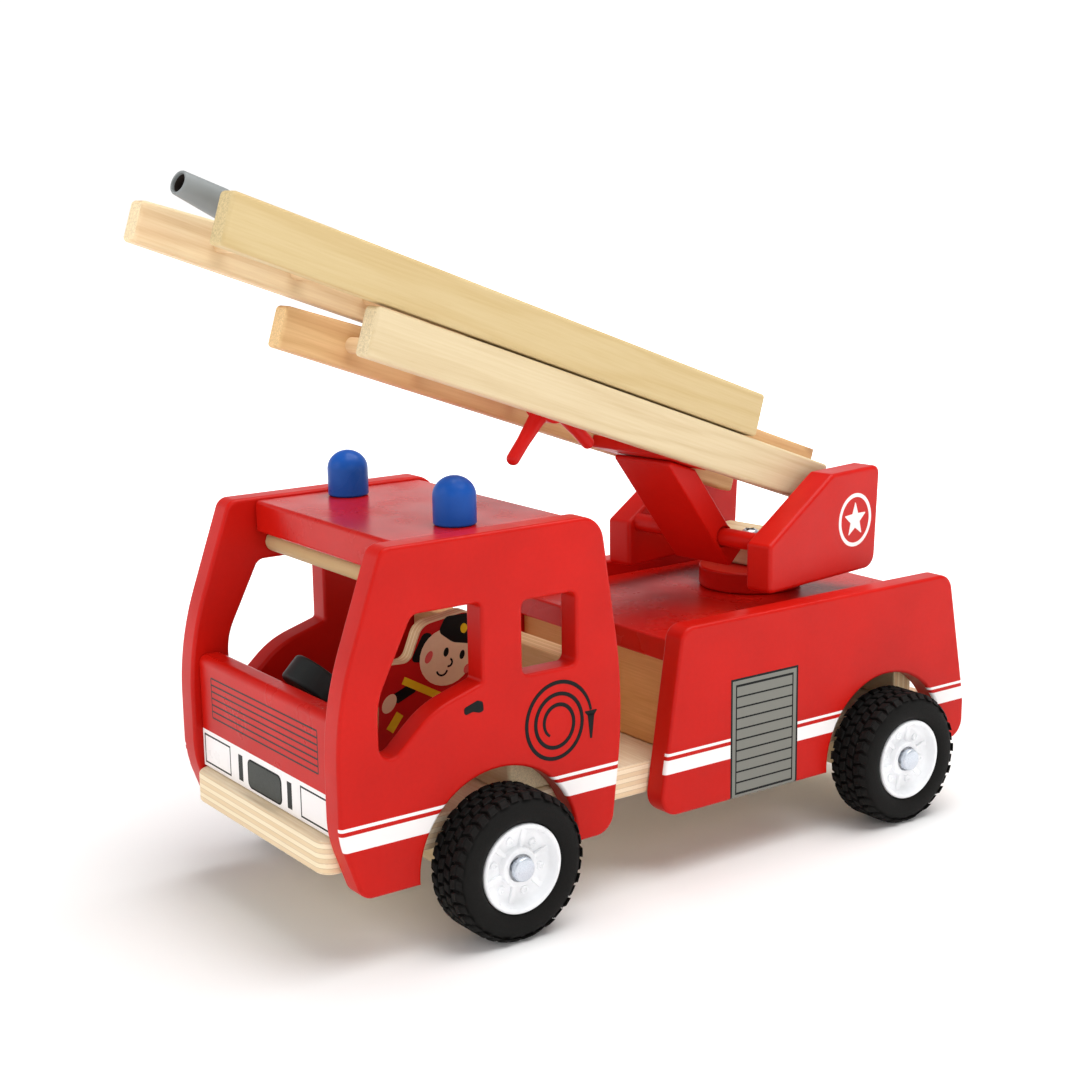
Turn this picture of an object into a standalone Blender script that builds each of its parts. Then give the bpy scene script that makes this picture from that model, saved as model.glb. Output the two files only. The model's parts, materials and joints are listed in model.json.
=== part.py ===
"""Wooden toy fire engine: painted plywood body on four rubber-tyred wheels, with a turntable ladder.

The vehicle points along -Y, its left side is +X and it stands on z = 0.  The turntable turns about
a vertical screw, the ladder tilts about a cross dowel, the upper ladder slides on the lower one and
turns the star wheel between them, the water nozzle tilts on a ladder rung, the steering wheel turns
on its column and each pair of wheels turns with its axle.
"""
import math

import bmesh
import bpy
from mathutils import Matrix, Vector

MM = 0.001
GAP = 0.3                     # clearance between pieces that touch, mm

# Driving dimensions, in millimetres
ORIGIN_SHIFT = 35.43          # puts the middle of the overall length on y = 0
PANEL_OUTER = 60.0            # outer face of each side panel
PANEL_INNER = 50.0
BOARD_HALF = PANEL_INNER - GAP
PANEL_EDGE = 1.4              # rounded edge of the painted boards
PANEL_BOTTOM = 25.0
CAB_TOP = 144.0
BED_TOP = 96.5

CHASSIS_LOW, CHASSIS_HIGH = 32.0, 44.3
CHASSIS_FRONT, CHASSIS_REAR = -164.5, 126.0

AXLE_Z = 27.0
FRONT_AXLE_Y, REAR_AXLE_Y = -99.5, 91.5
ARCH_RADIUS = 33.0
TYRE_RADIUS = 27.0
TYRE_SIDES = 36                # its flats, not its corners, stand at the tyre's radius
RIM_RADIUS = 16.2
AXLE_RADIUS = 2.5

ROOF_FRONT, ROOF_REAR = -134.3, -61.5
ROOF_LOW, ROOF_HIGH = 131.0, 143.0
BEACON_X, BEACON_Y, BEACON_RADIUS = 37.0, -101.0, 7.75
GRILLE_FRONT, GRILLE_BACK, GRILLE_TOP = -160.0, -150.0, 87.5
REAR_WALL_FRONT, REAR_WALL_BACK, REAR_WALL_TOP = -66.2, -56.2, 92.5

PLATFORM_LOW, PLATFORM_HIGH = 81.0, 90.0
PLATFORM_FRONT, PLATFORM_REAR = -16.0, 118.0

TURRET_Y = 70.0
TURRET_YAW = math.radians(8.9)        # to the left side of straight ahead
PLATE_LOW, PLATE_HIGH = 99.2, 141.7
PLATE_INNER, PLATE_OUTER = 31.0, 43.2
BLOCK_TOP = 110.0
SCREW_RADIUS = 1.9
SPACER_RADIUS = 21.5

BOOM_FORWARD, BOOM_Z = 34.5, 117.5    # cross dowel, ahead of the turntable screw
BOOM_PITCH = math.radians(18.9)
DOWEL_RADIUS = 3.7

RAIL_INNER, RAIL_OUTER = 19.8, 26.8
RAIL_HEIGHT = 17.0
LADDER_BASE = 22.5                    # underside of the lower rails above the dowel's axis
LADDER_FRONT = 208.8
LOWER_LENGTH, UPPER_LENGTH = 250.0, 262.4
UPPER_AHEAD = 62.4
UPPER_BASE = LADDER_BASE + RAIL_HEIGHT + 0.8
RUNG_PITCH, RUNG_RADIUS = 32.0, 3.0
LOWER_RUNGS_BACK = (30.0, 62.0, 190.0, 222.0)
FIRST_UPPER_RUNG, UPPER_RUNG_COUNT = -31.5, 8

STAR_BACK, STAR_HEIGHT = 109.5, 10.0
STAR_REACH, STAR_HUB = 30.0, 9.0
STAR_LEAN = math.radians(-24.0)

NOZZLE_RISE = 6.8                     # barrel axis above its rung
NOZZLE_LIFT = math.radians(5.2)       # nose-up at rest, against the ladder
FIGURE_X = 4.0
STEERING_CENTRE = (2.0, -139.0, 84.0)
STEERING_TILT = math.radians(-45.0)


# ---------------------------------------------------------------- scene, materials and placing
def clear_scene():
    for item in list(bpy.data.objects):
        bpy.data.objects.remove(item, do_unlink=True)


def make_material(name, colour, roughness, metallic=0.0):
    material = bpy.data.materials.new(name)
    material.use_nodes = True
    shader = material.node_tree.nodes["Principled BSDF"]
    shader.inputs["Base Color"].default_value = (*colour, 1.0)
    shader.inputs["Roughness"].default_value = roughness
    shader.inputs["Metallic"].default_value = metallic
    return material


PAINTS = {
    "red_paint": ((0.62, 0.018, 0.010), 0.38, 0.0),
    "blue_paint": ((0.01, 0.09, 0.42), 0.35, 0.0),
    "pine": ((0.78, 0.60, 0.36), 0.55, 0.0),
    "birch_ply": ((0.80, 0.65, 0.42), 0.60, 0.0),
    "tyre_rubber": ((0.02, 0.02, 0.02), 0.75, 0.0),
    "white_plastic": ((0.86, 0.87, 0.88), 0.40, 0.0),
    "steel": ((0.60, 0.62, 0.65), 0.30, 1.0),
    "grey_plastic": ((0.20, 0.22, 0.22), 0.45, 0.0),
    "black_paint": ((0.015, 0.016, 0.016), 0.45, 0.0),
    "printed_ply": ((0.70, 0.10, 0.06), 0.50, 0.0),
}


def make_empty(name, parent=None, location=(0.0, 0.0, 0.0), rotation=(0.0, 0.0, 0.0)):
    empty = bpy.data.objects.new(name, None)
    bpy.context.collection.objects.link(empty)
    empty.parent = parent
    empty.location = Vector(location) * MM
    empty.rotation_euler = rotation
    return empty


def make_object(name, mesh, paint, parent):
    """Each piece owns its material, and hangs under the empty that carries it."""
    mesh.materials.append(make_material(name + "_finish", *PAINTS[paint]))
    item = bpy.data.objects.new(name, mesh)
    bpy.context.collection.objects.link(item)
    item.parent = parent
    return item


def soften(item, width, segments=1):
    bevel = item.modifiers.new("edges", "BEVEL")
    bevel.width = width * MM
    bevel.segments = segments
    bevel.limit_method = "ANGLE"
    bevel.angle_limit = math.radians(40.0)


def cut(item, cutter):
    cutter.hide_render = True
    cutter.display_type = "WIRE"
    difference = item.modifiers.new("cut", "BOOLEAN")
    difference.operation = "DIFFERENCE"
    difference.object = cutter


# ---------------------------------------------------------------- outlines and solids
def corner_arc(before, corner, after, radius):
    """Points that round one corner; a sharp corner returns the corner itself."""
    point = Vector(corner)
    if radius <= 0.0:
        return [point]
    inward, outward = Vector(before) - point, Vector(after) - point
    inward.normalize()
    outward.normalize()
    half = inward.angle(outward) / 2.0
    bisector = (inward + outward).normalized()
    centre = point + bisector * (radius / math.sin(half))
    start = point + inward * (radius / math.tan(half)) - centre
    end = point + outward * (radius / math.tan(half)) - centre
    sweep = start.angle(end)
    side = 1.0 if start.x * end.y - start.y * end.x > 0.0 else -1.0
    steps = max(2, round(sweep * (4.0 + radius / 10.0) / 2.6))
    return [centre + Matrix.Rotation(side * sweep * i / steps, 2) @ start for i in range(steps + 1)]


def rounded(corners):
    """Outline from (a, b, radius) corners, in order around the shape."""
    points = []
    for index, (a, b, radius) in enumerate(corners):
        before = corners[index - 1][:2]
        after = corners[(index + 1) % len(corners)][:2]
        points.extend(corner_arc(before, (a, b), after, radius))
    return points


def arch(centre_y, steps=16):
    """Corners along a wheel arch, from its front foot over the top to its rear foot."""
    drop = math.asin((AXLE_Z - PANEL_BOTTOM) / ARCH_RADIUS)
    first, last = math.pi + drop, -drop
    corners = []
    for i in range(steps + 1):
        angle = first + (last - first) * i / steps
        corners.append((centre_y + ARCH_RADIUS * math.cos(angle), AXLE_Z + ARCH_RADIUS * math.sin(angle), 0.0))
    return corners


def prism(name, outline, axis, low, high, paint, parent):
    """Extrude an outline from low to high along an axis: 'X' takes (y, z), 'Y' (x, z) and 'Z' (x, y)."""
    mesh = bpy.data.meshes.new(name)
    shape = bmesh.new()
    place = {
        "X": lambda p, level: (level, p[0], p[1]),
        "Y": lambda p, level: (p[0], level, p[1]),
        "Z": lambda p, level: (p[0], p[1], level),
    }[axis]
    corners = [shape.verts.new(Vector(place(p, low)) * MM) for p in outline]
    base = shape.faces.new(corners)
    grown = bmesh.ops.extrude_face_region(shape, geom=[base])
    moved = [v for v in grown["geom"] if isinstance(v, bmesh.types.BMVert)]
    step = Vector(place((0.0, 0.0), high - low)) * MM
    bmesh.ops.translate(shape, vec=step, verts=moved)
    bmesh.ops.recalc_face_normals(shape, faces=shape.faces)
    shape.to_mesh(mesh)
    shape.free()
    return make_object(name, mesh, paint, parent)


def box_outline(a0, a1, b0, b1, radius=0.0):
    return rounded([(a0, b0, radius), (a1, b0, radius), (a1, b1, radius), (a0, b1, radius)])


def box(name, x, y, z, paint, parent, edge=0.8):
    """Straight board between the pairs of limits x, y and z."""
    item = prism(name, box_outline(*x, *y), "Z", *z, paint, parent)
    soften(item, edge)
    return item


def turned(name, profile, paint, parent, axis="X", centre=(0.0, 0.0, 0.0), sides=24, closed=False):
    """Turn a profile of (radius, station) points about an axis through centre.

    An open profile starts and ends on the axis; a closed one makes a ring.
    """
    frame = {
        "X": Matrix(((0, 0, 1), (1, 0, 0), (0, 1, 0))),
        "Y": Matrix(((0, 1, 0), (0, 0, 1), (1, 0, 0))),
        "Z": Matrix.Identity(3),
    }[axis]
    mesh = bpy.data.meshes.new(name)
    shape = bmesh.new()
    rings = []
    for radius, station in profile:
        count = sides if radius > 0.0 else 1
        ring = []
        for i in range(count):
            angle = math.tau * (i + 0.5) / sides
            local = Vector((radius * math.cos(angle), radius * math.sin(angle), station))
            ring.append(shape.verts.new((frame @ local + Vector(centre)) * MM))
        rings.append(ring)
    pairs = list(zip(rings, rings[1:]))
    if closed:
        pairs.append((rings[-1], rings[0]))
    for lower, upper in pairs:
        for i in range(sides):
            j = (i + 1) % sides
            corners = [lower[i % len(lower)], lower[j % len(lower)], upper[j % len(upper)], upper[i % len(upper)]]
            shape.faces.new(list(dict.fromkeys(corners)))
    bmesh.ops.recalc_face_normals(shape, faces=shape.faces)
    shape.to_mesh(mesh)
    shape.free()
    mesh.shade_smooth()
    mesh.set_sharp_from_angle(angle=math.radians(35.0))
    return make_object(name, mesh, paint, parent)


def rod(name, radius, low, high, paint, parent, axis="X", centre=(0.0, 0.0, 0.0), sides=16, chamfer=0.5):
    profile = [(0.0, low), (radius - chamfer, low), (radius, low + chamfer)]
    profile += [(radius, high - chamfer), (radius - chamfer, high), (0.0, high)]
    return turned(name, profile, paint, parent, axis, centre, sides)


# ---------------------------------------------------------------- chassis, cab and bed
def build_chassis(parent):
    corner = 6.0
    outline = rounded([
        (-BOARD_HALF, CHASSIS_FRONT, corner), (BOARD_HALF, CHASSIS_FRONT, corner),
        (BOARD_HALF, CHASSIS_REAR, 0.0), (-BOARD_HALF, CHASSIS_REAR, 0.0),
    ])
    soften(prism("chassis_board", outline, "Z", CHASSIS_LOW, CHASSIS_HIGH, "birch_ply", parent), 0.8)


def cab_outline():
    low = PANEL_BOTTOM
    front = [(-144.6, CAB_TOP, 5.0), (-163.4, 91.4, 115.0), (-163.4, 47.5, 40.0), (-155.4, low, 6.0)]
    rear = [(-50.2, low, 8.0), (-44.0, 75.0, 183.0), (-54.4, CAB_TOP, 10.0)]
    return rounded(front + arch(FRONT_AXLE_Y) + rear)


def quarter_window():
    return rounded([
        (-106.0, 92.0, 1.5), (-106.0, 120.0, 2.0), (-133.2, 120.0, 4.0), (-147.2, 92.6, 25.0),
        (-147.2, 66.9, 4.5), (-126.0, 86.0, 35.0),
    ])


def build_cab_panels(parent):
    span = 2.0
    for side, name in ((1, "left"), (-1, "right")):
        low, high = sorted((side * PANEL_INNER, side * PANEL_OUTER))
        panel = prism("cab_panel_" + name, cab_outline(), "X", low, high, "red_paint", parent)
        windows = {"quarter": quarter_window(), "rear": box_outline(-89.0, -66.0, 91.5, 118.0, 2.5)}
        for window, outline in windows.items():
            label = "cutter_{}_{}".format(window, name)
            cut(panel, prism(label, outline, "X", low - span, high + span, "red_paint", parent))
        soften(panel, PANEL_EDGE)


def bed_outline():
    low = PANEL_BOTTOM - 0.4
    front = [(-17.0, BED_TOP, 6.0), (-28.2, low, 8.0)]
    rear = [(137.4, low, 8.0), (137.6, 42.0, 20.0), (127.4, BED_TOP, 7.0)]
    return rounded(front + arch(REAR_AXLE_Y) + rear)


def build_bed_panels(parent):
    for side, name in ((1, "left"), (-1, "right")):
        low, high = sorted((side * PANEL_INNER, side * PANEL_OUTER))
        soften(prism("bed_panel_" + name, bed_outline(), "X", low, high, "red_paint", parent), PANEL_EDGE)


def build_cab_boards(parent):
    across = (-BOARD_HALF, BOARD_HALF)
    roof = box("roof_board", across, (ROOF_FRONT, ROOF_REAR), (ROOF_LOW, ROOF_HIGH), "red_paint", parent, 1.2)
    for x in (-BEACON_X, BEACON_X):
        name = "cutter_beacon_left" if x > 0 else "cutter_beacon_right"
        cut(roof, rod(name, 4.3, 138.0, 150.0, "red_paint", parent, "Z", (x, BEACON_Y, 0.0)))
    rod("windscreen_dowel", 4.0, *across, "pine", parent, "X", (0.0, -126.5, 126.6), 20)
    top_round = rounded([
        (GRILLE_FRONT, CHASSIS_HIGH + GAP, 0.0), (GRILLE_FRONT, GRILLE_TOP, 3.0),
        (GRILLE_BACK, GRILLE_TOP, 3.0), (GRILLE_BACK, CHASSIS_HIGH + GAP, 0.0),
    ])
    prism("grille_panel", top_round, "X", *across, "red_paint", parent)
    wall_y = (REAR_WALL_FRONT, REAR_WALL_BACK)
    box("cab_rear_wall", across, wall_y, (CHASSIS_HIGH + GAP, REAR_WALL_TOP), "birch_ply", parent)
    seat_y = (-89.0, REAR_WALL_FRONT - GAP)
    box("bench_seat", across, seat_y, (CHASSIS_HIGH + GAP, 63.0), "pine", parent, 1.2)


def build_beacon(name, x, parent):
    """Dome-topped peg whose spigot stands in a hole in the roof."""
    radius, height, spigot = BEACON_RADIUS, 17.0, 4.0
    base = ROOF_HIGH + GAP
    profile = [(0.0, 138.0 + GAP), (spigot, 138.0 + GAP), (spigot, base), (radius - 0.5, base), (radius, base + 0.5)]
    rings = 5
    for i in range(rings):
        angle = math.pi / 2 * i / rings
        profile.append((radius * math.cos(angle), base + height - radius + radius * math.sin(angle)))
    profile.append((0.0, base + height))
    turned(name, profile, "blue_paint", parent, "Z", (x, BEACON_Y, 0.0), 20)


def build_figure(parent):
    """Flat sawn figure of the driver, leaning back on the bench with one arm on the steering wheel."""
    floor, seat = CHASSIS_HIGH + GAP, 63.0 + GAP
    outline = rounded([
        (-119.0, floor, 2.0), (-89.3, floor, 0.0), (-89.3, seat, 0.0), (-73.0, seat, 3.0),
        (-71.0, 88.0, 9.0), (-75.0, 103.5, 6.0), (-97.5, 100.5, 7.0), (-103.0, 87.5, 4.0),
        (-112.0, 88.0, 5.0), (-126.6, 94.0, 3.0), (-131.0, 87.0, 3.0), (-117.0, 74.0, 6.0),
    ])
    figure = prism("driver_figure", outline, "X", FIGURE_X - 3.0, FIGURE_X + 3.0, "printed_ply", parent)
    soften(figure, 0.6)


def build_bed(parent):
    across = (-BOARD_HALF, BOARD_HALF)
    deck_y = (PLATFORM_FRONT, PLATFORM_REAR)
    deck = box("platform_board", across, deck_y, (PLATFORM_LOW, PLATFORM_HIGH), "red_paint", parent, 1.0)
    cut(deck, rod("cutter_deck", 2.3, 70.0, 100.0, "red_paint", parent, "Z", (0.0, TURRET_Y, 0.0)))
    lower = (CHASSIS_HIGH + GAP, PLATFORM_LOW - GAP)
    box("bed_front_wall", across, (-12.0, -2.0), lower, "birch_ply", parent)
    box("bed_rear_wall", across, (106.0, 116.0), lower, "birch_ply", parent)
    spacer = rod("turntable_spacer", SPACER_RADIUS, PLATFORM_HIGH + GAP, PLATE_LOW - GAP, "red_paint", parent,
                 "Z", (0.0, TURRET_Y, 0.0), 28, 0.8)
    cut(spacer, rod("cutter_spacer", 2.3, 80.0, 110.0, "red_paint", parent, "Z", (0.0, TURRET_Y, 0.0)))


def build_axle_block(name, y, parent):
    block = box(name, (-48.0, 48.0), (y - 11.0, y + 11.0), (18.5, CHASSIS_LOW - GAP), "pine", parent)
    bore = rod("cutter_" + name, AXLE_RADIUS + 0.5, -60.0, 60.0, "pine", parent, "X", (0.0, y, AXLE_Z), 16)
    cut(block, bore)


# ---------------------------------------------------------------- wheels and steering
def build_wheelset(prefix, parent):
    """Steel axle with domed push caps, two plastic rims and two rubber tyres."""
    cap, seat_in, seat_out = 4.3, 71.9, 74.9
    half = [(AXLE_RADIUS, seat_in), (cap, seat_in), (cap, seat_in + 1.2), (cap * 0.72, seat_out - 0.6), (0.0, seat_out)]
    profile = [(r, -x) for r, x in reversed(half)] + half
    turned(prefix + "_axle", profile, "steel", parent, "X", sides=16)
    bore = AXLE_RADIUS + 0.2
    rim = [(bore, 55.0), (7.0, 55.0), (8.0, 58.0), (RIM_RADIUS, 57.0),
           (RIM_RADIUS, 73.0), (RIM_RADIUS - 1.4, 73.2), (13.6, 69.6), (7.2, 68.6), (5.8, 71.6), (bore, 71.6)]
    inner = (RIM_RADIUS + GAP) / math.cos(math.pi / TYRE_SIDES)
    tread = TYRE_RADIUS / math.cos(math.pi / TYRE_SIDES)
    tyre = [(inner, 54.6), (20.0, 53.2), (tread - 2.0, 54.2), (tread, 57.6),
            (tread, 69.6), (tread - 2.0, 73.0), (20.0, 73.9), (inner, 72.6)]
    for side, name in ((1, "left"), (-1, "right")):
        mirrored_rim = [(r, side * x) for r, x in rim]
        mirrored_tyre = [(r, side * x) for r, x in tyre]
        turned("{}_rim_{}".format(prefix, name), mirrored_rim, "white_plastic", parent, "X", sides=24, closed=True)
        turned("{}_tyre_{}".format(prefix, name), mirrored_tyre, "tyre_rubber", parent, "X", sides=TYRE_SIDES, closed=True)


def build_steering(root, wheel_empty):
    """The column's axis is the local Z of the tilted empty; the wheel turns on its end."""
    column = make_empty("steering_column_axis", root, STEERING_CENTRE, (STEERING_TILT, 0.0, 0.0))
    rod("steering_column", 3.0, -11.2, -5.0 - GAP, "pine", column, "Z")
    rod("steering_wheel", 12.0, -5.0, 5.0, "black_paint", wheel_empty, "Z", sides=24, chamfer=1.0)


# ---------------------------------------------------------------- turntable
def plate_outline():
    front, rear = -41.1, 31.0
    return rounded([
        (front, PLATE_LOW, 1.5), (front, 118.3, 1.5), (-1.1, PLATE_HIGH, 1.5),
        (rear, PLATE_HIGH, 3.0), (rear - 2.5, PLATE_LOW, 6.0),
    ])


def build_turret(parent):
    """The parent empty stands on the ground under the pivot screw; ahead is local -Y."""
    socket = 6.0
    for side, name in ((1, "left"), (-1, "right")):
        low, high = sorted((side * PLATE_INNER, side * PLATE_OUTER))
        plate = prism("turret_plate_" + name, plate_outline(), "X", low, high, "red_paint", parent)
        soften(plate, 1.0)
        hole = sorted((side * (PLATE_INNER - 5.0), side * (PLATE_INNER + socket)))
        centre = (0.0, -BOOM_FORWARD, BOOM_Z)
        cut(plate, rod("cutter_plate_" + name, DOWEL_RADIUS + GAP, *hole, "red_paint", parent, "X", centre, 20, 0.1))
    reach = PLATE_INNER + socket - GAP
    rod("pivot_dowel", DOWEL_RADIUS, -reach, reach, "red_paint", parent, "X", (0.0, -BOOM_FORWARD, BOOM_Z), 20)
    block = box("turret_block", (GAP - PLATE_INNER, PLATE_INNER - GAP), (-6.5, 24.0), (PLATE_LOW, BLOCK_TOP),
                "pine", parent)
    cut(block, rod("cutter_block", 2.3, 80.0, 120.0, "pine", parent, "Z"))
    washer_top = BLOCK_TOP + GAP + 1.0
    washer = [(2.3, BLOCK_TOP + GAP), (6.2, BLOCK_TOP + GAP), (6.2, washer_top), (2.3, washer_top)]
    turned("pivot_washer", washer, "steel", parent, "Z", sides=16, closed=True)
    head = washer_top + 0.2
    screw = [(0.0, PLATFORM_LOW + 1.0), (SCREW_RADIUS, PLATFORM_LOW + 2.5), (SCREW_RADIUS, head), (3.9, head),
             (3.6, head + 1.2), (2.0, head + 2.0), (0.0, head + 2.2)]
    turned("pivot_screw", screw, "steel", parent, "Z", sides=12)


# ---------------------------------------------------------------- ladder
def build_arm(parent):
    """Slanting board that carries the lower ladder; its top is sawn to the ladder's slope."""
    slope = math.radians(32.1)
    half_width, half_thick, tail = 14.5, 5.1, 12.6
    along = Vector((-math.cos(slope), math.sin(slope)))
    across = Vector((math.sin(slope), math.cos(slope)))
    top = LADDER_BASE - 0.2
    outline = []
    for side in (-1, 1):
        foot = along * -tail + across * (side * half_thick)
        crown = foot + along * ((top - foot.y) / along.y)
        outline += [foot, crown] if side < 0 else [crown, foot]
    arm = prism("boom_arm", outline, "X", -half_width, half_width, "red_paint", parent)
    soften(arm, 1.0)
    cut(arm, rod("cutter_arm", DOWEL_RADIUS + GAP, -30.0, 30.0, "red_paint", parent, "X", sides=20))


def build_lower_ladder(parent):
    rail_y = (-LADDER_FRONT, LOWER_LENGTH - LADDER_FRONT)
    rail_z = (LADDER_BASE, LADDER_BASE + RAIL_HEIGHT)
    star_y = STAR_BACK - LADDER_FRONT
    star_z = LADDER_BASE + STAR_HEIGHT
    for side, name in ((1, "left"), (-1, "right")):
        rail_x = sorted((side * RAIL_INNER, side * RAIL_OUTER))
        rail = box("lower_rail_" + name, rail_x, rail_y, rail_z, "pine", parent, 0.8)
        hole = sorted((side * (RAIL_INNER - 5.0), side * (RAIL_INNER + 4.5)))
        cut(rail, rod("cutter_rail_" + name, 2.8, *hole, "pine", parent, "X", (0.0, star_y, star_z), 16, 0.1))
        strip_x = sorted((side * (RAIL_INNER - GAP), side * (RAIL_INNER - 3.3)))
        strip_y = (45.0 - LADDER_FRONT, LOWER_LENGTH - LADDER_FRONT - 2.0)
        strip_z = (LADDER_BASE + 13.2, UPPER_BASE + 4.6)
        box("guide_strip_" + name, strip_x, strip_y, strip_z, "pine", parent, 0.4)
    for number, back in enumerate(LOWER_RUNGS_BACK, 1):
        centre = (0.0, back - LADDER_FRONT, LADDER_BASE + RAIL_HEIGHT / 2)
        reach = RAIL_INNER - GAP
        rod("lower_rung_{}".format(number), RUNG_RADIUS, -reach, reach, "pine", parent, "X", centre, 12, 0.3)
    shoe_z = (LADDER_BASE + 0.1, LADDER_BASE + 5.0)
    shoe_x = (GAP - RAIL_INNER, RAIL_INNER - GAP)
    box("ladder_crosspiece", shoe_x, (157.0 - LADDER_FRONT, 184.0 - LADDER_FRONT), shoe_z, "red_paint", parent)


def build_upper_ladder(parent):
    """Local frame of the boom; the parent slides along local -Y."""
    front = -LADDER_FRONT - UPPER_AHEAD
    for side, name in ((1, "left"), (-1, "right")):
        rail_x = sorted((side * RAIL_INNER, side * RAIL_OUTER))
        rail_z = (UPPER_BASE, UPPER_BASE + RAIL_HEIGHT)
        box("upper_rail_" + name, rail_x, (front, front + UPPER_LENGTH), rail_z, "pine", parent, 0.8)
    for index in range(UPPER_RUNG_COUNT):
        back = FIRST_UPPER_RUNG + RUNG_PITCH * index
        centre = (0.0, back - LADDER_FRONT, UPPER_BASE + RAIL_HEIGHT / 2)
        reach = RAIL_INNER - GAP
        rod("upper_rung_{}".format(index + 1), RUNG_RADIUS, -reach, reach, "pine", parent, "X", centre, 12, 0.3)


def build_star(parent):
    """Four round-ended fingers on a hub; the shaft stands in the lower rails."""
    hub = [(2.8, -5.0), (STAR_HUB - 1.0, -5.0), (STAR_HUB, -4.0), (STAR_HUB, 4.0), (STAR_HUB - 1.0, 5.0), (2.8, 5.0)]
    star = turned("star_wheel", hub, "red_paint", parent, "X", sides=16, closed=True)
    tip, root = 2.5, 3.5
    for index in range(4):
        angle = STAR_LEAN + math.tau * index / 4
        profile = [(0.0, 4.6), (root, 4.6), (root, STAR_HUB + 1.0), (tip, STAR_REACH - 10.0), (tip, STAR_REACH - 2.0),
                   (tip * 0.72, STAR_REACH - 0.6), (0.0, STAR_REACH)]
        finger = turned("cutter_finger_{}".format(index), profile, "red_paint", parent, "Z", sides=10)
        finger.rotation_euler = (angle, 0.0, 0.0)
        finger.hide_render = True
        finger.display_type = "WIRE"
        union = star.modifiers.new("finger", "BOOLEAN")
        union.operation = "UNION"
        union.object = finger
    rod("star_shaft", 2.5, -23.8, 23.8, "red_paint", parent, "X", sides=16)


def build_nozzle(parent):
    """Water nozzle; its saddle clips over the rung on the parent's X axis."""
    rise = NOZZLE_RISE
    mouth, shoulder, knob, tail = 33.5, 17.0, -13.5, -21.5
    profile = [(0.0, mouth - 9.0), (2.6, mouth - 9.0), (2.8, mouth), (3.65, mouth), (3.95, mouth - 0.8),
               (4.9, shoulder), (3.4, shoulder - 1.6), (3.4, knob + 1.0), (6.0, knob), (6.0, tail + 1.4),
               (4.8, tail), (0.0, tail)]
    stations = [(r, -y) for r, y in profile]
    barrel = turned("water_nozzle", stations, "grey_plastic", parent, "Y", (0.0, 0.0, rise), 16)
    clip = []
    inner, outer = RUNG_RADIUS + GAP, RUNG_RADIUS + 2.2
    opening = math.radians(50.0)
    steps = 10
    for radius, order in ((outer, range(steps + 1)), (inner, range(steps, -1, -1))):
        for i in order:
            angle = -math.pi / 2 + opening + (math.tau - 2 * opening) * i / steps
            clip.append((radius * math.cos(angle), radius * math.sin(angle)))
    saddle = prism("cutter_saddle", clip, "X", -4.0, 4.0, "grey_plastic", parent)
    saddle.hide_render = True
    saddle.display_type = "WIRE"
    union = barrel.modifiers.new("saddle", "BOOLEAN")
    union.operation = "UNION"
    union.object = saddle


# ---------------------------------------------------------------- whole vehicle
def build():
    clear_scene()
    root = make_empty("vehicle", None, (0.0, ORIGIN_SHIFT, 0.0))
    build_chassis(root)
    build_cab_panels(root)
    build_cab_boards(root)
    build_beacon("beacon_left", BEACON_X, root)
    build_beacon("beacon_right", -BEACON_X, root)
    build_figure(root)
    build_bed_panels(root)
    build_bed(root)
    build_axle_block("front_axle_block", FRONT_AXLE_Y, root)
    build_axle_block("rear_axle_block", REAR_AXLE_Y, root)
    build_wheelset("front", make_empty("front_axle_axis", root, (0.0, FRONT_AXLE_Y, AXLE_Z)))
    build_wheelset("rear", make_empty("rear_axle_axis", root, (0.0, REAR_AXLE_Y, AXLE_Z)))
    build_steering(root, make_empty("steering_axis", root, STEERING_CENTRE, (STEERING_TILT, 0.0, 0.0)))

    turret = make_empty("turret_axis", root, (0.0, TURRET_Y, 0.0), (0.0, 0.0, TURRET_YAW))
    build_turret(turret)
    boom = make_empty("boom_axis", turret, (0.0, -BOOM_FORWARD, BOOM_Z), (-BOOM_PITCH, 0.0, 0.0))
    build_arm(boom)
    build_lower_ladder(boom)
    star_place = (0.0, STAR_BACK - LADDER_FRONT, LADDER_BASE + STAR_HEIGHT)
    build_star(make_empty("star_axis", boom, star_place))
    slide = make_empty("slide_axis", boom)
    build_upper_ladder(slide)
    nozzle_place = (0.0, FIRST_UPPER_RUNG - LADDER_FRONT, UPPER_BASE + RAIL_HEIGHT / 2)
    build_nozzle(make_empty("nozzle_axis", slide, nozzle_place, (-NOZZLE_LIFT, 0.0, 0.0)))


build()
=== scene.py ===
"""Visual model of a wooden toy fire engine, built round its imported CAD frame.

Every piece is made in the space of the body that carries it, in millimetres, and takes its limits
from the CAD node that it stands for.  Ahead is local -Y and the vehicle's left side is +X.
"""
import json
from math import asin, cos, pi, radians, sin, tan, tau

import bmesh
import bpy
from mathutils import Matrix, Vector


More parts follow.
